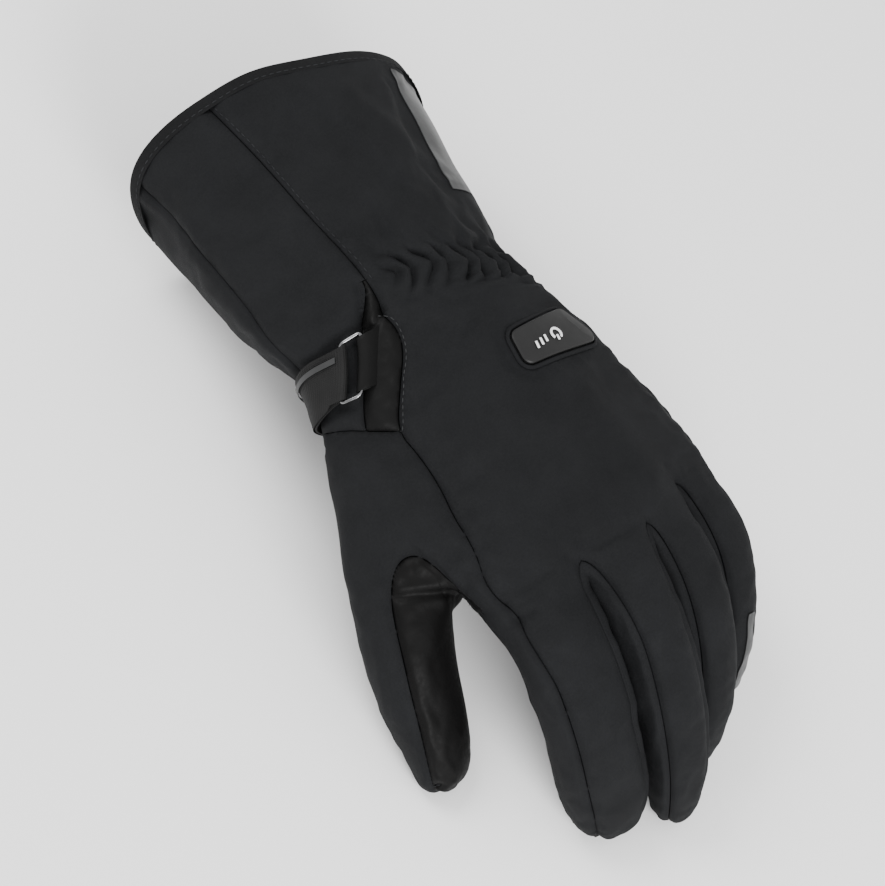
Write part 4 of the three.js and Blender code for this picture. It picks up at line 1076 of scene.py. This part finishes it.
def reliefOf(skin):
    index, distance = nearestTo(base, base[sewnPoints])
    seamAt = base[sewnPoints][index]
    valley = -relief["seamDepth"] * np.exp(-(distance / relief["seamWidth"]) ** 2)
    pillow = relief["pillow"] * np.exp(-((distance - relief["pillowAt"]) / relief["pillowWidth"]) ** 2)
    pucker = relief["pucker"] * ripple(seamAt, relief["puckerLength"], 11)
    pucker *= np.exp(-(distance / relief["puckerReach"]) ** 2)
    pucker *= np.where(basePlaces[:, 0] > relief["calmFrom"], relief["calm"], 1)
    pucker *= 1 - np.exp(-(distance / relief["puckerFrom"]) ** 2)
    swell = relief["swell"] * ripple(base, relief["swellLength"], 23)
    swell *= 1 - np.exp(-(distance / relief["swellFrom"]) ** 2)
    return valley + pillow + pucker + swell + gatherRelief(skin) + creaseRelief()


# The padded cloth swells between its seams and buckles, by a cloth simulation of the whole shell.
padding = {
    "level": 3, "pinned": 1.9, "growth": 0.035, "pressure": 4.0, "frames": 20, "quality": 4, "mass": 0.12,
    "stiffness": 0.3, "out": 1.2, "in": 1.6, "slide": 0.8, "onFingers": 0.55, "evened": 4,
    "clear": (1.5, 7.0),
}


def clothSwell():
    rest = subdivide(cage, cageFaces, padding["level"])
    floor = np.where(onPanels(rest, lambda n: n.startswith("gauntlet")), shell["bindingDepth"], 0.0)
    start = rest["co"].copy()
    start[:, 2] = np.maximum(start[:, 2], floor)
    start = fitted(start)
    normals = vertexNormals(start, rest["quads"])
    mesh = bpy.data.meshes.new("padding")
    mesh.from_pydata((start * mm).tolist(), [], rest["quads"].tolist())
    obj = bpy.data.objects.new("padding", mesh)
    scene.collection.objects.link(obj)
    fixedPoints = base[np.unique(np.concatenate([seamEdges.ravel(), rimEdges.ravel()]))]
    _, gap = nearestTo(start, fixedPoints)
    low = start[:, 2] - floor < 0.4
    group = obj.vertex_groups.new(name="pinned")
    group.add(np.nonzero((gap < padding["pinned"]) | low)[0].tolist(), 1.0, "REPLACE")
    cloth = obj.modifiers.new("cloth", "CLOTH")
    cloth.settings.vertex_group_mass = "pinned"
    cloth.settings.quality = padding["quality"]
    cloth.settings.mass = padding["mass"]
    cloth.settings.bending_stiffness = padding["stiffness"]
    cloth.settings.shrink_min = -padding["growth"]
    cloth.settings.use_pressure = True
    cloth.settings.uniform_pressure_force = padding["pressure"]
    cloth.settings.effector_weights.gravity = 0
    cloth.collision_settings.use_collision = False
    cloth.point_cache.frame_start, cloth.point_cache.frame_end = 1, padding["frames"]
    for number in range(1, padding["frames"] + 1):
        scene.frame_set(number)
    end = readArray(evaluatedMesh(obj).vertices, "co", 3)
    bpy.data.objects.remove(obj)
    scene.frame_set(1)
    shift = end / mm - start
    outward = (shift * normals).sum(1)
    slide = shift - outward[:, None] * normals
    reach = np.maximum(np.linalg.norm(slide, axis=1), 1e-9)
    slide *= np.minimum(1, padding["slide"] / reach)[:, None]
    print("  cloth moved out", outward.min().round(2), outward.max().round(2), "slide", reach.max().round(2))
    outward = np.where(outward > 0, padding["out"] * np.tanh(outward / padding["out"]),
                       padding["in"] * np.tanh(outward / padding["in"]))
    tree = pointTree(start)
    shift = slide + outward[:, None] * normals
    blended = np.zeros_like(base)
    for i, point in enumerate(base):
        found = tree.find_n(point, 4)
        weights = np.array([1 / (d + 0.15) ** 2 for _, _, d in found])
        blended[i] = weights @ shift[[j for _, j, _ in found]] / weights.sum()
    return evenOut(blended, padding["evened"])


def evenOut(values, times):
    count = np.bincount(innerEdges.ravel(), minlength=len(base))[:, None]
    for _ in range(times):
        total = np.zeros_like(values)
        np.add.at(total, innerEdges[:, 0], values[innerEdges[:, 1]])
        np.add.at(total, innerEdges[:, 1], values[innerEdges[:, 0]])
        values = np.where(count > 0, 0.5 * values + 0.5 * total / np.maximum(count, 1), values)
    return values


def hardPieceGap():
    # how far each point of the skin is from the pieces that sit on it
    spots = []
    for name in ("button_frame", "button_pad", "wrist_strap", "ring_tab", "strap_ring", "strap_reflector",
                 "cuff_reflector", "finger_reflector"):
        co = readArray(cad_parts[name].data.vertices, "co", 3)
        spots.append(np.unique((co / mm).round(2), axis=0))
    return nearestTo(base, np.concatenate(spots))[1]


onFinger = np.ones(len(base), bool)
onFinger[skin["quads"].ravel()[skin["part"][:, 0] > 0.5]] = False
clear = smoothStep(hardPieceGap(), *padding["clear"])
height = reliefOf(skin)
skin["co"] = base + skin["normal"] * np.where(height > 0, height * clear, height)[:, None]
print("shell: cloth simulation")
swollen = clothSwell() * np.where(onFinger, padding["onFingers"], 1.0)[:, None]
outward = (swollen * skin["normal"]).sum(1)
swollen -= skin["normal"] * (np.maximum(outward, 0) * (1 - clear))[:, None]
skin["co"] += swollen
patchGap = (((basePlaces - patchSwell["middle"]) / patchSwell["half"]) ** 2).sum(axis=1)
skin["co"] += skin["normal"] * (patchSwell["height"] * facingPhoto * np.exp(-patchGap ** 2))[:, None]
skin["co"][:, 2] = np.maximum(skin["co"][:, 2], floorOf)


def panelWall(name):
    # the panel's part of the skin with its padded wall, pulled back from its seams
    quads = skin["quads"][skin["panel"] == panelIds[name]]
    ids, local = np.unique(quads, return_inverse=True)
    local = local.reshape(quads.shape)
    a, b = local.ravel(), np.roll(local, -1, axis=1).ravel()
    directed = set(zip(a.tolist(), b.tolist()))
    rim = np.array([(i, j) for i, j in directed if (j, i) not in directed])
    rim = rim[np.lexsort((rim[:, 1], rim[:, 0]))]
    outer = skin["co"][ids].copy()
    normal = skin["normal"][ids]
    ahead = unit(outer[rim[:, 1]] - outer[rim[:, 0]])
    pull = np.zeros_like(outer)
    for end in (0, 1):
        np.add.at(pull, rim[:, end], unit(np.cross(normal[rim[:, end]], ahead)))
    onRim = np.unique(rim)
    sewn = onRim[~np.isin(ids[onRim], flushOnly)]
    outer[sewn] += unit(pull[sewn]) * shell["seamGap"] / 2
    inner = base[ids] - normal * shell["wall"]
    outer[:, 2] = np.maximum(outer[:, 2], 0)
    inner[:, 2] = np.maximum(inner[:, 2], 0.5)
    count = len(ids)
    walls = np.stack([rim[:, 1], rim[:, 0], rim[:, 0] + count, rim[:, 1] + count], 1)
    faces = np.concatenate([local, local[:, ::-1] + count, walls])
    obj = makeMesh(name + "_cloth", np.concatenate([outer, inner]), faces)
    corners = readArray(obj.data.edges, "vertices", 2, int)
    outside = (corners < count).all(axis=1)
    keys = ids[np.where(outside[:, None], corners, 0)]
    flush = [bool(o) and tuple(sorted(k)) in flushKeys for o, k in zip(outside, keys.tolist())]
    obj.data.attributes.new("sharp_edge", "BOOLEAN", "EDGE").data.foreach_set("value", flush)
    return obj


plainCloth, plainLeather = (softshell, "softshell"), (palmLeather, "leather")
panelFinish = {
    "gauntlet_back": plainCloth, "gauntlet_side": plainCloth, "gauntlet_palm": plainCloth,
    "wrist_patch": (patchHide, "black_patch"), "hand_back": plainCloth, "outer_side": plainCloth,
    "thumb_back": plainCloth, "thumb_palm": plainLeather, "palm": plainLeather,
    "gusset_index_middle": plainCloth, "gusset_middle_ring": plainCloth, "gusset_ring_little": plainCloth,
    "elastic_gathers": (elasticCloth, "elastic_cloth"), "wrist_side": plainCloth,
}
print("shell: panels")
for panelName, (panelMaterial, panelSlot) in panelFinish.items():
    replaced = "wrist_patch" if panelName == "wrist_side" else panelName
    finishPiece(panelWall(panelName), panelMaterial, [replaced])

outerTree = BVHTree.FromPolygons(skin["co"].tolist(), skin["quads"].tolist())


# Binding folded over the rim, with soft rounded edges

binding = {"length": 4.5, "proud": 0.8, "gap": 0.3, "corner": 0.22, "lip": 0.3, "stitchIn": 1.1}


def roundedLoop(corners, radius, parts=4):
    # a closed outline with its corners rounded
    corners = [np.array(c, float) for c in corners]
    loop = []
    for i, corner in enumerate(corners):
        before = unit(corners[i - 1] - corner)
        after = unit(corners[(i + 1) % len(corners)] - corner)
        for k in range(parts + 1):
            t = k / parts
            loop.append(corner + radius * (before * (1 - t) ** 2 + after * t ** 2))
    return np.array(loop)


def rimFrames():
    # for each point round the rim: the point, the way into the cuff's cloth, and the way out of it
    run = chainEdges(rimEdges)[0][:-1]
    rimSet = set(run)
    inward = {}
    for a, b in innerEdges.tolist():
        for near, far in ((a, b), (b, a)):
            if near in rimSet and far not in rimSet:
                inward.setdefault(near, far)
    frames = []
    for i in run:
        normal = skin["normal"][i]
        up = base[inward[i]] - base[i]
        frames.append((base[i], unit(up - normal * (up @ normal)), normal))
    return frames


def makeBinding():
    gap, proud, length = binding["gap"], binding["proud"], binding["length"]
    inside = -shell["wall"] - gap
    section = roundedLoop([(-gap - proud, inside - proud), (-gap - proud, gap + proud),
                           (length + binding["lip"], gap + proud * 0.9), (length, gap + 0.05),
                           (-gap, gap), (-gap, inside), (length, inside), (length, inside - proud)],
                          binding["corner"])
    points = np.array([point + up * (along + shell["seamGap"] / 2) + normal * out
                       for point, up, normal in rimFrames() for along, out in section])
    points[:, 2] = np.maximum(points[:, 2], 0)
    obj = makeMesh("cuff_binding_tape", points, tubeFaces(len(points) // len(section), len(section)))
    recalculate(obj, 1e-6)
    return obj


print("binding")
finishPiece(makeBinding(), bindingTape, ["cuff_binding"])


# Wrist strap, its ring and the tab that holds the ring

strap = {
    "width": 22, "thickness": 1.3, "length": 62, "topShare": 0.93,
    "skew": 4.5, "topSkew": -0.6, "skewReach": 16,
    "edgeThin": 0.35, "edgeRound": 0.22, "tabThickness": 1, "tabLength": 12.5, "tabSink": 5.2, "wire": 1.5,
    "wireSides": 14, "ringDepth": 8.5, "ringCorner": 1.8, "row": 6.75, "column": 19.38, "gap": 0.3,
    "wrapGap": 0.7, "swell": 1, "part": 1, "meet": 9,
}
wireRadius = strap["wire"] / 2
wireHeight = strap["wrapGap"] + strap["thickness"] + strap["gap"] + wireRadius
ringScale = np.linalg.norm(surfaceAt(body, strap["row"], strap["column"])[1])
roundCache = {}


def overWrist(up, around, height):
    row = strap["row"] + up / ringScale
    key = round(around, 4)
    if key not in roundCache:
        roundCache[key] = goRound(strap["row"], strap["column"], around)
    swell = strap["swell"] * float(smoothStep(row, rowAt["strapFoot"] - 0.2, rowAt["patchFoot"]))
    return raisedAt(body, row, roundCache[key], height + swell)


def bandSection(thickness, lowReach, topReach, count, sink=0.0):
    # distance out from the bar and height, over its end and back
    small = wireRadius + strap["gap"]
    lowTop = wireHeight - small
    turns = [math.radians(t) for t in range(-75, 76, 15)]

    def faceLine(out):
        # one face of the band, that far out from its inner face: under the wire, round it and back over it
        line = [(lowReach * k / count, lowTop - out) for k in range(count, -1, -1)]
        line += [(-(small + out) * math.cos(t), wireHeight + (small + out) * math.sin(t)) for t in turns]
        for k in range(count + 1):
            u = topReach * k / count
            closing = float(smoothStep(u, strap["part"], strap["meet"]))
            line.append((u, mix(wireHeight + small, lowTop + strap["gap"], closing) + out))
        return line

    section = faceLine(thickness) + faceLine(0)[::-1]
    return [(u, h - sink * float(smoothStep(u, 1, topReach))) for u, h in section]


def bandObject(name, section, width, skew, roundOf, across=12):
    count = len(section)
    half = count // 2
    lengths = [0.0]
    for (u0, h0), (u1, h1) in zip(section[:half], section[1:half]):
        lengths.append(lengths[-1] + math.hypot(u1 - u0, h1 - h0))
    lengths += lengths[::-1]
    points, uvs = [], []
    for k in range(across + 1):
        share = k / across
        thin = 1 - strap["edgeThin"] * abs(2 * share - 1) ** 8
        for i, (u, h) in enumerate(section):
            other = section[count - 1 - i]
            middleHeight = (h + other[1]) / 2
            h2 = middleHeight + (h - middleHeight) * thin
            slide = skew if h < wireHeight else strap["topSkew"] * skew
            slide *= float(smoothStep(u, 0, strap["skewReach"]))
            points.append(overWrist((share - 0.5) * width + slide, roundOf(u), h2))
            uvs.append((lengths[i], share * width))
    faces = []
    for k in range(across):
        for i in range(count):
            n = (i + 1) % count
            faces.append((k * count + i, k * count + n, (k + 1) * count + n, (k + 1) * count + i))
    for k, flip in ((0, False), (across, True)):
        for i in range(half - 1):
            quad = (k * count + i, k * count + i + 1, k * count + count - 2 - i, k * count + count - 1 - i)
            faces.append(quad if flip else quad[::-1])
    obj = makeMesh(name, points, faces, uvs)
    recalculate(obj)
    bevelEdges(obj, strap["edgeRound"], 50)
    settle(obj)
    obj.data.shade_smooth()
    return obj


print("strap")
strapSection = bandSection(strap["thickness"], strap["length"], strap["length"] * strap["topShare"], 40)
strapObject = bandObject("wrist_strap_webbing", strapSection, strap["width"], strap["skew"],
                         lambda u: -strap["ringDepth"] / 2 - u)
finishPiece(strapObject, strapWebbing, ["wrist_strap"])
tabSection = bandSection(strap["tabThickness"], strap["tabLength"], strap["tabLength"], 14, strap["tabSink"])
tabObject = bandObject("ring_tab_loop", tabSection, strap["width"] - 1, 0,
                       lambda u: strap["ringDepth"] / 2 + u)
finishPiece(tabObject, patchHide, ["ring_tab"])


def makeRing():
    # rounded rectangle of wire that follows the wrist
    long = strap["width"] + 2 * (strap["gap"] + wireRadius)
    halfX, halfY = long / 2, strap["ringDepth"] / 2
    corner = strap["ringCorner"]
    path = []
    for sx, sy, start in ((1, 1, 0), (-1, 1, 90), (-1, -1, 180), (1, -1, 270)):
        for k in range(7):
            angle = math.radians(start + 15 * k)
            path.append((sx * halfX - sx * corner + corner * math.cos(angle),
                         sy * halfY - sy * corner + corner * math.sin(angle)))
    dense = []
    for (x0, y0), (x1, y1) in zip(path, path[1:] + path[:1]):
        parts = max(1, int(math.hypot(x1 - x0, y1 - y0) / 1.2))
        dense += [(mix(x0, x1, k / parts), mix(y0, y1, k / parts)) for k in range(parts)]
    centres = np.array([overWrist(x, y, wireHeight) for x, y in dense])
    above = unit(np.array([overWrist(x, y, wireHeight + 1) for x, y in dense]) - centres)
    ahead = unit(np.roll(centres, -1, 0) - np.roll(centres, 1, 0))
    side = unit(np.cross(ahead, above))
    turns = np.arange(strap["wireSides"]) * 2 * math.pi / strap["wireSides"]
    points = [c + (s * math.cos(a) + n * math.sin(a)) * wireRadius
              for c, s, n in zip(centres, side, above) for a in turns]
    obj = makeMesh("strap_ring_wire", points, tubeFaces(len(dense), len(turns)))
    recalculate(obj, 1e-6)
    return obj


finishPiece(makeRing(), ringSteel, ["strap_ring"])


# CAD pieces whose shape is right get a finer copy: doubles merged, edges softened

plainTree = BVHTree.FromPolygons(plainBase.tolist(), skin["quads"].tolist())


def carry(obj):
    # moves a piece that lies on the cloth as far as the cloth below it was moved
    moved = []
    for point in readArray(obj.data.vertices, "co", 3) / mm:
        spot, _, face, _ = plainTree.find_nearest(Vector(point))
        corners = skin["quads"][face]
        weights = 1 / (np.linalg.norm(plainBase[corners] - np.array(spot), axis=1) + 0.1) ** 2
        moved.append(point + weights @ (skin["co"][corners] - plainBase[corners]) / weights.sum())
    obj.data.vertices.foreach_set("co", (np.array(moved) * mm).ravel())
    return obj


def refined(nodeName, newName, levels, rounding=None):
    work = bmesh.new()
    work.from_mesh(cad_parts[nodeName].data)
    bmesh.ops.remove_doubles(work, verts=work.verts, dist=2e-6)
    bmesh.ops.join_triangles(work, faces=work.faces, angle_face_threshold=math.radians(40),
                             angle_shape_threshold=math.radians(60))
    mesh = bpy.data.meshes.new(newName)
    work.to_mesh(mesh)
    work.free()
    obj = bpy.data.objects.new(newName, mesh)
    scene.collection.objects.link(obj)
    if rounding:
        bevelEdges(obj, rounding, 35)
    if levels:
        smooth = obj.modifiers.new("smooth", "SUBSURF")
        smooth.levels = smooth.render_levels = levels
    settle(obj)
    obj.data.shade_smooth()
    return obj


print("button, marks and reflectors")
rounded = {"pad": 0.25, "thin": 0.08}       # how far the edges are rounded
padObject = refined("button_pad", "button_pad_rubber", 2, rounded["pad"])
finishPiece(padObject, buttonRubber, ["button_pad"])
finishPiece(refined("button_frame", "button_frame_cloth", 3), softshell, ["button_frame"])
for markName in ("level_bar_1", "level_bar_2", "level_bar_3", "power_circle", "power_bar"):
    mark = refined(markName, markName + "_print", 0, rounded["thin"])
    finishPiece(mark, whiteInk, [markName])
strapFilm = refined("strap_reflector", "strap_reflector_film", 2, rounded["thin"])
finishPiece(strapFilm, reflectiveFilm, ["strap_reflector"])
for filmName in ("cuff_reflector", "finger_reflector"):
    film = carry(refined(filmName, filmName + "_film", 3, rounded["thin"]))
    finishPiece(film, reflectiveFilm, [filmName])


# Stitches: short threads laid along a path

def stitchTree():
    tree = bpy.data.node_groups.new("stitchRow", "GeometryNodeTree")
    face = tree.interface
    face.new_socket("Geometry", in_out="INPUT", socket_type="NodeSocketGeometry")
    for label in ("Pitch", "Length", "Thickness"):
        face.new_socket(label, in_out="INPUT", socket_type="NodeSocketFloat")
    face.new_socket("Thread", in_out="INPUT", socket_type="NodeSocketMaterial")
    face.new_socket("Geometry", in_out="OUTPUT", socket_type="NodeSocketGeometry")
    nodes, links = tree.nodes, tree.links
    given, result = nodes.new("NodeGroupInput"), nodes.new("NodeGroupOutput")
    toCurve = nodes.new("GeometryNodeMeshToCurve")
    spaced = nodes.new("GeometryNodeResampleCurve")
    spaced.mode = "LENGTH"
    tangent = nodes.new("GeometryNodeInputTangent")
    align = nodes.new("FunctionNodeAlignRotationToVector")
    align.axis = "Z"
    bead = nodes.new("GeometryNodeMeshUVSphere")
    for label, value in (("Segments", 6), ("Rings", 5), ("Radius", 0.5)):
        bead.inputs[label].default_value = value
    size = nodes.new("ShaderNodeCombineXYZ")
    place = nodes.new("GeometryNodeInstanceOnPoints")
    real = nodes.new("GeometryNodeRealizeInstances")
    smooth = nodes.new("GeometryNodeSetShadeSmooth")
    finish = nodes.new("GeometryNodeSetMaterial")
    for source, output, goal, socket in (
            (given, "Geometry", toCurve, "Mesh"), (toCurve, "Curve", spaced, "Curve"),
            (given, "Pitch", spaced, "Length"), (spaced, "Curve", place, "Points"),
            (tangent, "Tangent", align, "Vector"), (align, "Rotation", place, "Rotation"),
            (given, "Thickness", size, "X"), (given, "Thickness", size, "Y"), (given, "Length", size, "Z"),
            (size, "Vector", place, "Scale"), (bead, "Mesh", place, "Instance"),
            (place, "Instances", real, "Geometry"), (real, "Geometry", smooth, "Geometry"),
            (smooth, "Geometry", finish, "Geometry"), (given, "Thread", finish, "Material"),
            (finish, "Geometry", result, "Geometry")):
        links.new(source.outputs[output], goal.inputs[socket])
    return tree


stitchRow = stitchTree()
stitchSets = {
    "stitches_cuff_seam": {"offset": 2.0, "Pitch": 3.0, "Length": 2.2, "Thickness": 0.55},
    "stitches_patch": {"offset": 1.6, "Pitch": 2.6, "Length": 1.9, "Thickness": 0.5},
    "stitches_binding": {"Pitch": 3.2, "Length": 2.3, "Thickness": 0.55},
}


def stitchRows(name, paths, thread):
    points, edges = [], []
    for path in paths:
        start = len(points)
        points += list(path)
        edges += [(start + i, start + i + 1) for i in range(len(path) - 1)]
    mesh = bpy.data.meshes.new(name)
    mesh.from_pydata((np.array(points) * mm).tolist(), edges, [])
    obj = bpy.data.objects.new(name, mesh)
    scene.collection.objects.link(obj)
    modifier = obj.modifiers.new("stitches", "NODES")
    modifier.node_group = stitchRow
    for item in stitchRow.interface.items_tree:
        if item.name in ("Pitch", "Length", "Thickness"):
            modifier[item.identifier] = stitchSets[name][item.name] * mm
        elif item.name == "Thread":
            modifier[item.identifier] = thread
    settle(obj)
    finishPiece(obj, thread)


def evened(points, step=1.5):
    points = np.asarray(points, float)
    lengths = np.concatenate([[0], np.cumsum(np.linalg.norm(np.diff(points, axis=0), axis=1))])
    wanted = np.linspace(0, lengths[-1], max(2, int(lengths[-1] / step)))
    return np.stack([np.interp(wanted, lengths, points[:, i]) for i in range(3)], 1)


def besideSeam(run, towards, offset, lift=0.12):
    # a path at that distance from a seam, on the side of the given panel, laid on the surface
    inPanel = skin["quads"][skin["panel"] == panelIds[towards]]
    centre = skin["co"][inPanel].mean(axis=1)
    points = evened(base[run])
    ahead = unit(np.gradient(points, axis=0))
    index, _ = nearestTo(points, centre)
    path = []
    for p, t, i in zip(points, ahead, index):
        spot, normal, _, _ = outerTree.find_nearest(Vector(p))
        normal = np.array(normal)
        side = unit(np.cross(normal, t))
        if side @ (centre[i] - p) < 0:
            side = -side
        spot, normal, _, _ = outerTree.find_nearest(Vector(p + side * offset))
        path.append(np.array(spot) + np.array(normal) * lift)
    path = np.array(path)
    for _ in range(3):
        path[1:-1] = (path[:-2] + 2 * path[1:-1] + path[2:]) / 4
    return path


print("stitches")
cuffPaths = [besideSeam(run, "gauntlet_back", stitchSets["stitches_cuff_seam"]["offset"])
             for run in seamRuns("gauntlet_back", "gauntlet_side")]
stitchRows("stitches_cuff_seam", cuffPaths, seamThread)
patchPaths = []
for run in seamRuns("hand_back", "wrist_patch"):
    path = besideSeam(run, "hand_back", stitchSets["stitches_patch"]["offset"])
    path = path[photoPlaces(path)[:, 1] < patchFoot[-1][1]]
    if len(path) > 6:       # shorter bits are left out
        patchPaths.append(path)
stitchRows("stitches_patch", patchPaths, patchThread)
threadAlong = binding["length"] - binding["stitchIn"]
threadOut = binding["gap"] + binding["proud"] * 0.95
rimPath = [point + up * threadAlong + normal * threadOut for point, up, normal in rimFrames()]
stitchRows("stitches_binding", [rimPath + rimPath[:1]], seamThread)


# Floor, lights

studio = {
    "floorSize": 6.0, "floorDrop": 0.00005, "sky": 1.3,
    "key": (0.55, -0.75, 1.1, 0.8, 26), "top": (-0.4, 1.0, 0.9, 0.7, 14),
}


def makeStage():
    corners = np.array([(-1, -1, 0), (1, -1, 0), (1, 1, 0), (-1, 1, 0)])
    floor = makeMesh("floor", corners * studio["floorSize"] / 2 / mm, [(0, 1, 2, 3)], smooth=False)
    floor.data.transform(Matrix.Translation((0, 0, -studio["floorDrop"])))
    pale = newMaterial("paleFloor", (0.88, 0.88, 0.88), 0.9, specular=0.2)
    place = objectPlace(pale)
    colourRange(pale, noise(pale, place, 3, 2), (0.87, 0.87, 0.87), (0.89, 0.89, 0.89))
    floor.data.materials.append(pale)
    world = bpy.data.worlds.new("studio")
    scene.world = world
    world.use_nodes = True
    background = world.node_tree.nodes["Background"]
    background.inputs["Color"].default_value = (1, 1, 1, 1)
    background.inputs["Strength"].default_value = studio["sky"]


def softLight(name, right, up, back, size, power):
    # its place is in metres along the camera's axes, from the middle of the picture
    data = bpy.data.lights.new(name, "AREA")
    data.shape, data.size, data.energy = "DISK", size, power
    light = bpy.data.objects.new(name, data)
    where = (viewMiddle * mm) + viewRight * right + viewUp * up + viewBack * back
    light.location = Vector(where)
    light.rotation_mode = "QUATERNION"
    light.rotation_quaternion = (Vector(where) - Vector(viewMiddle * mm)).to_track_quat("Z", "Y")
    scene.collection.objects.link(light)


print("stage")
makeStage()
for lightName in ("key", "top"):
    softLight(lightName, *studio[lightName])
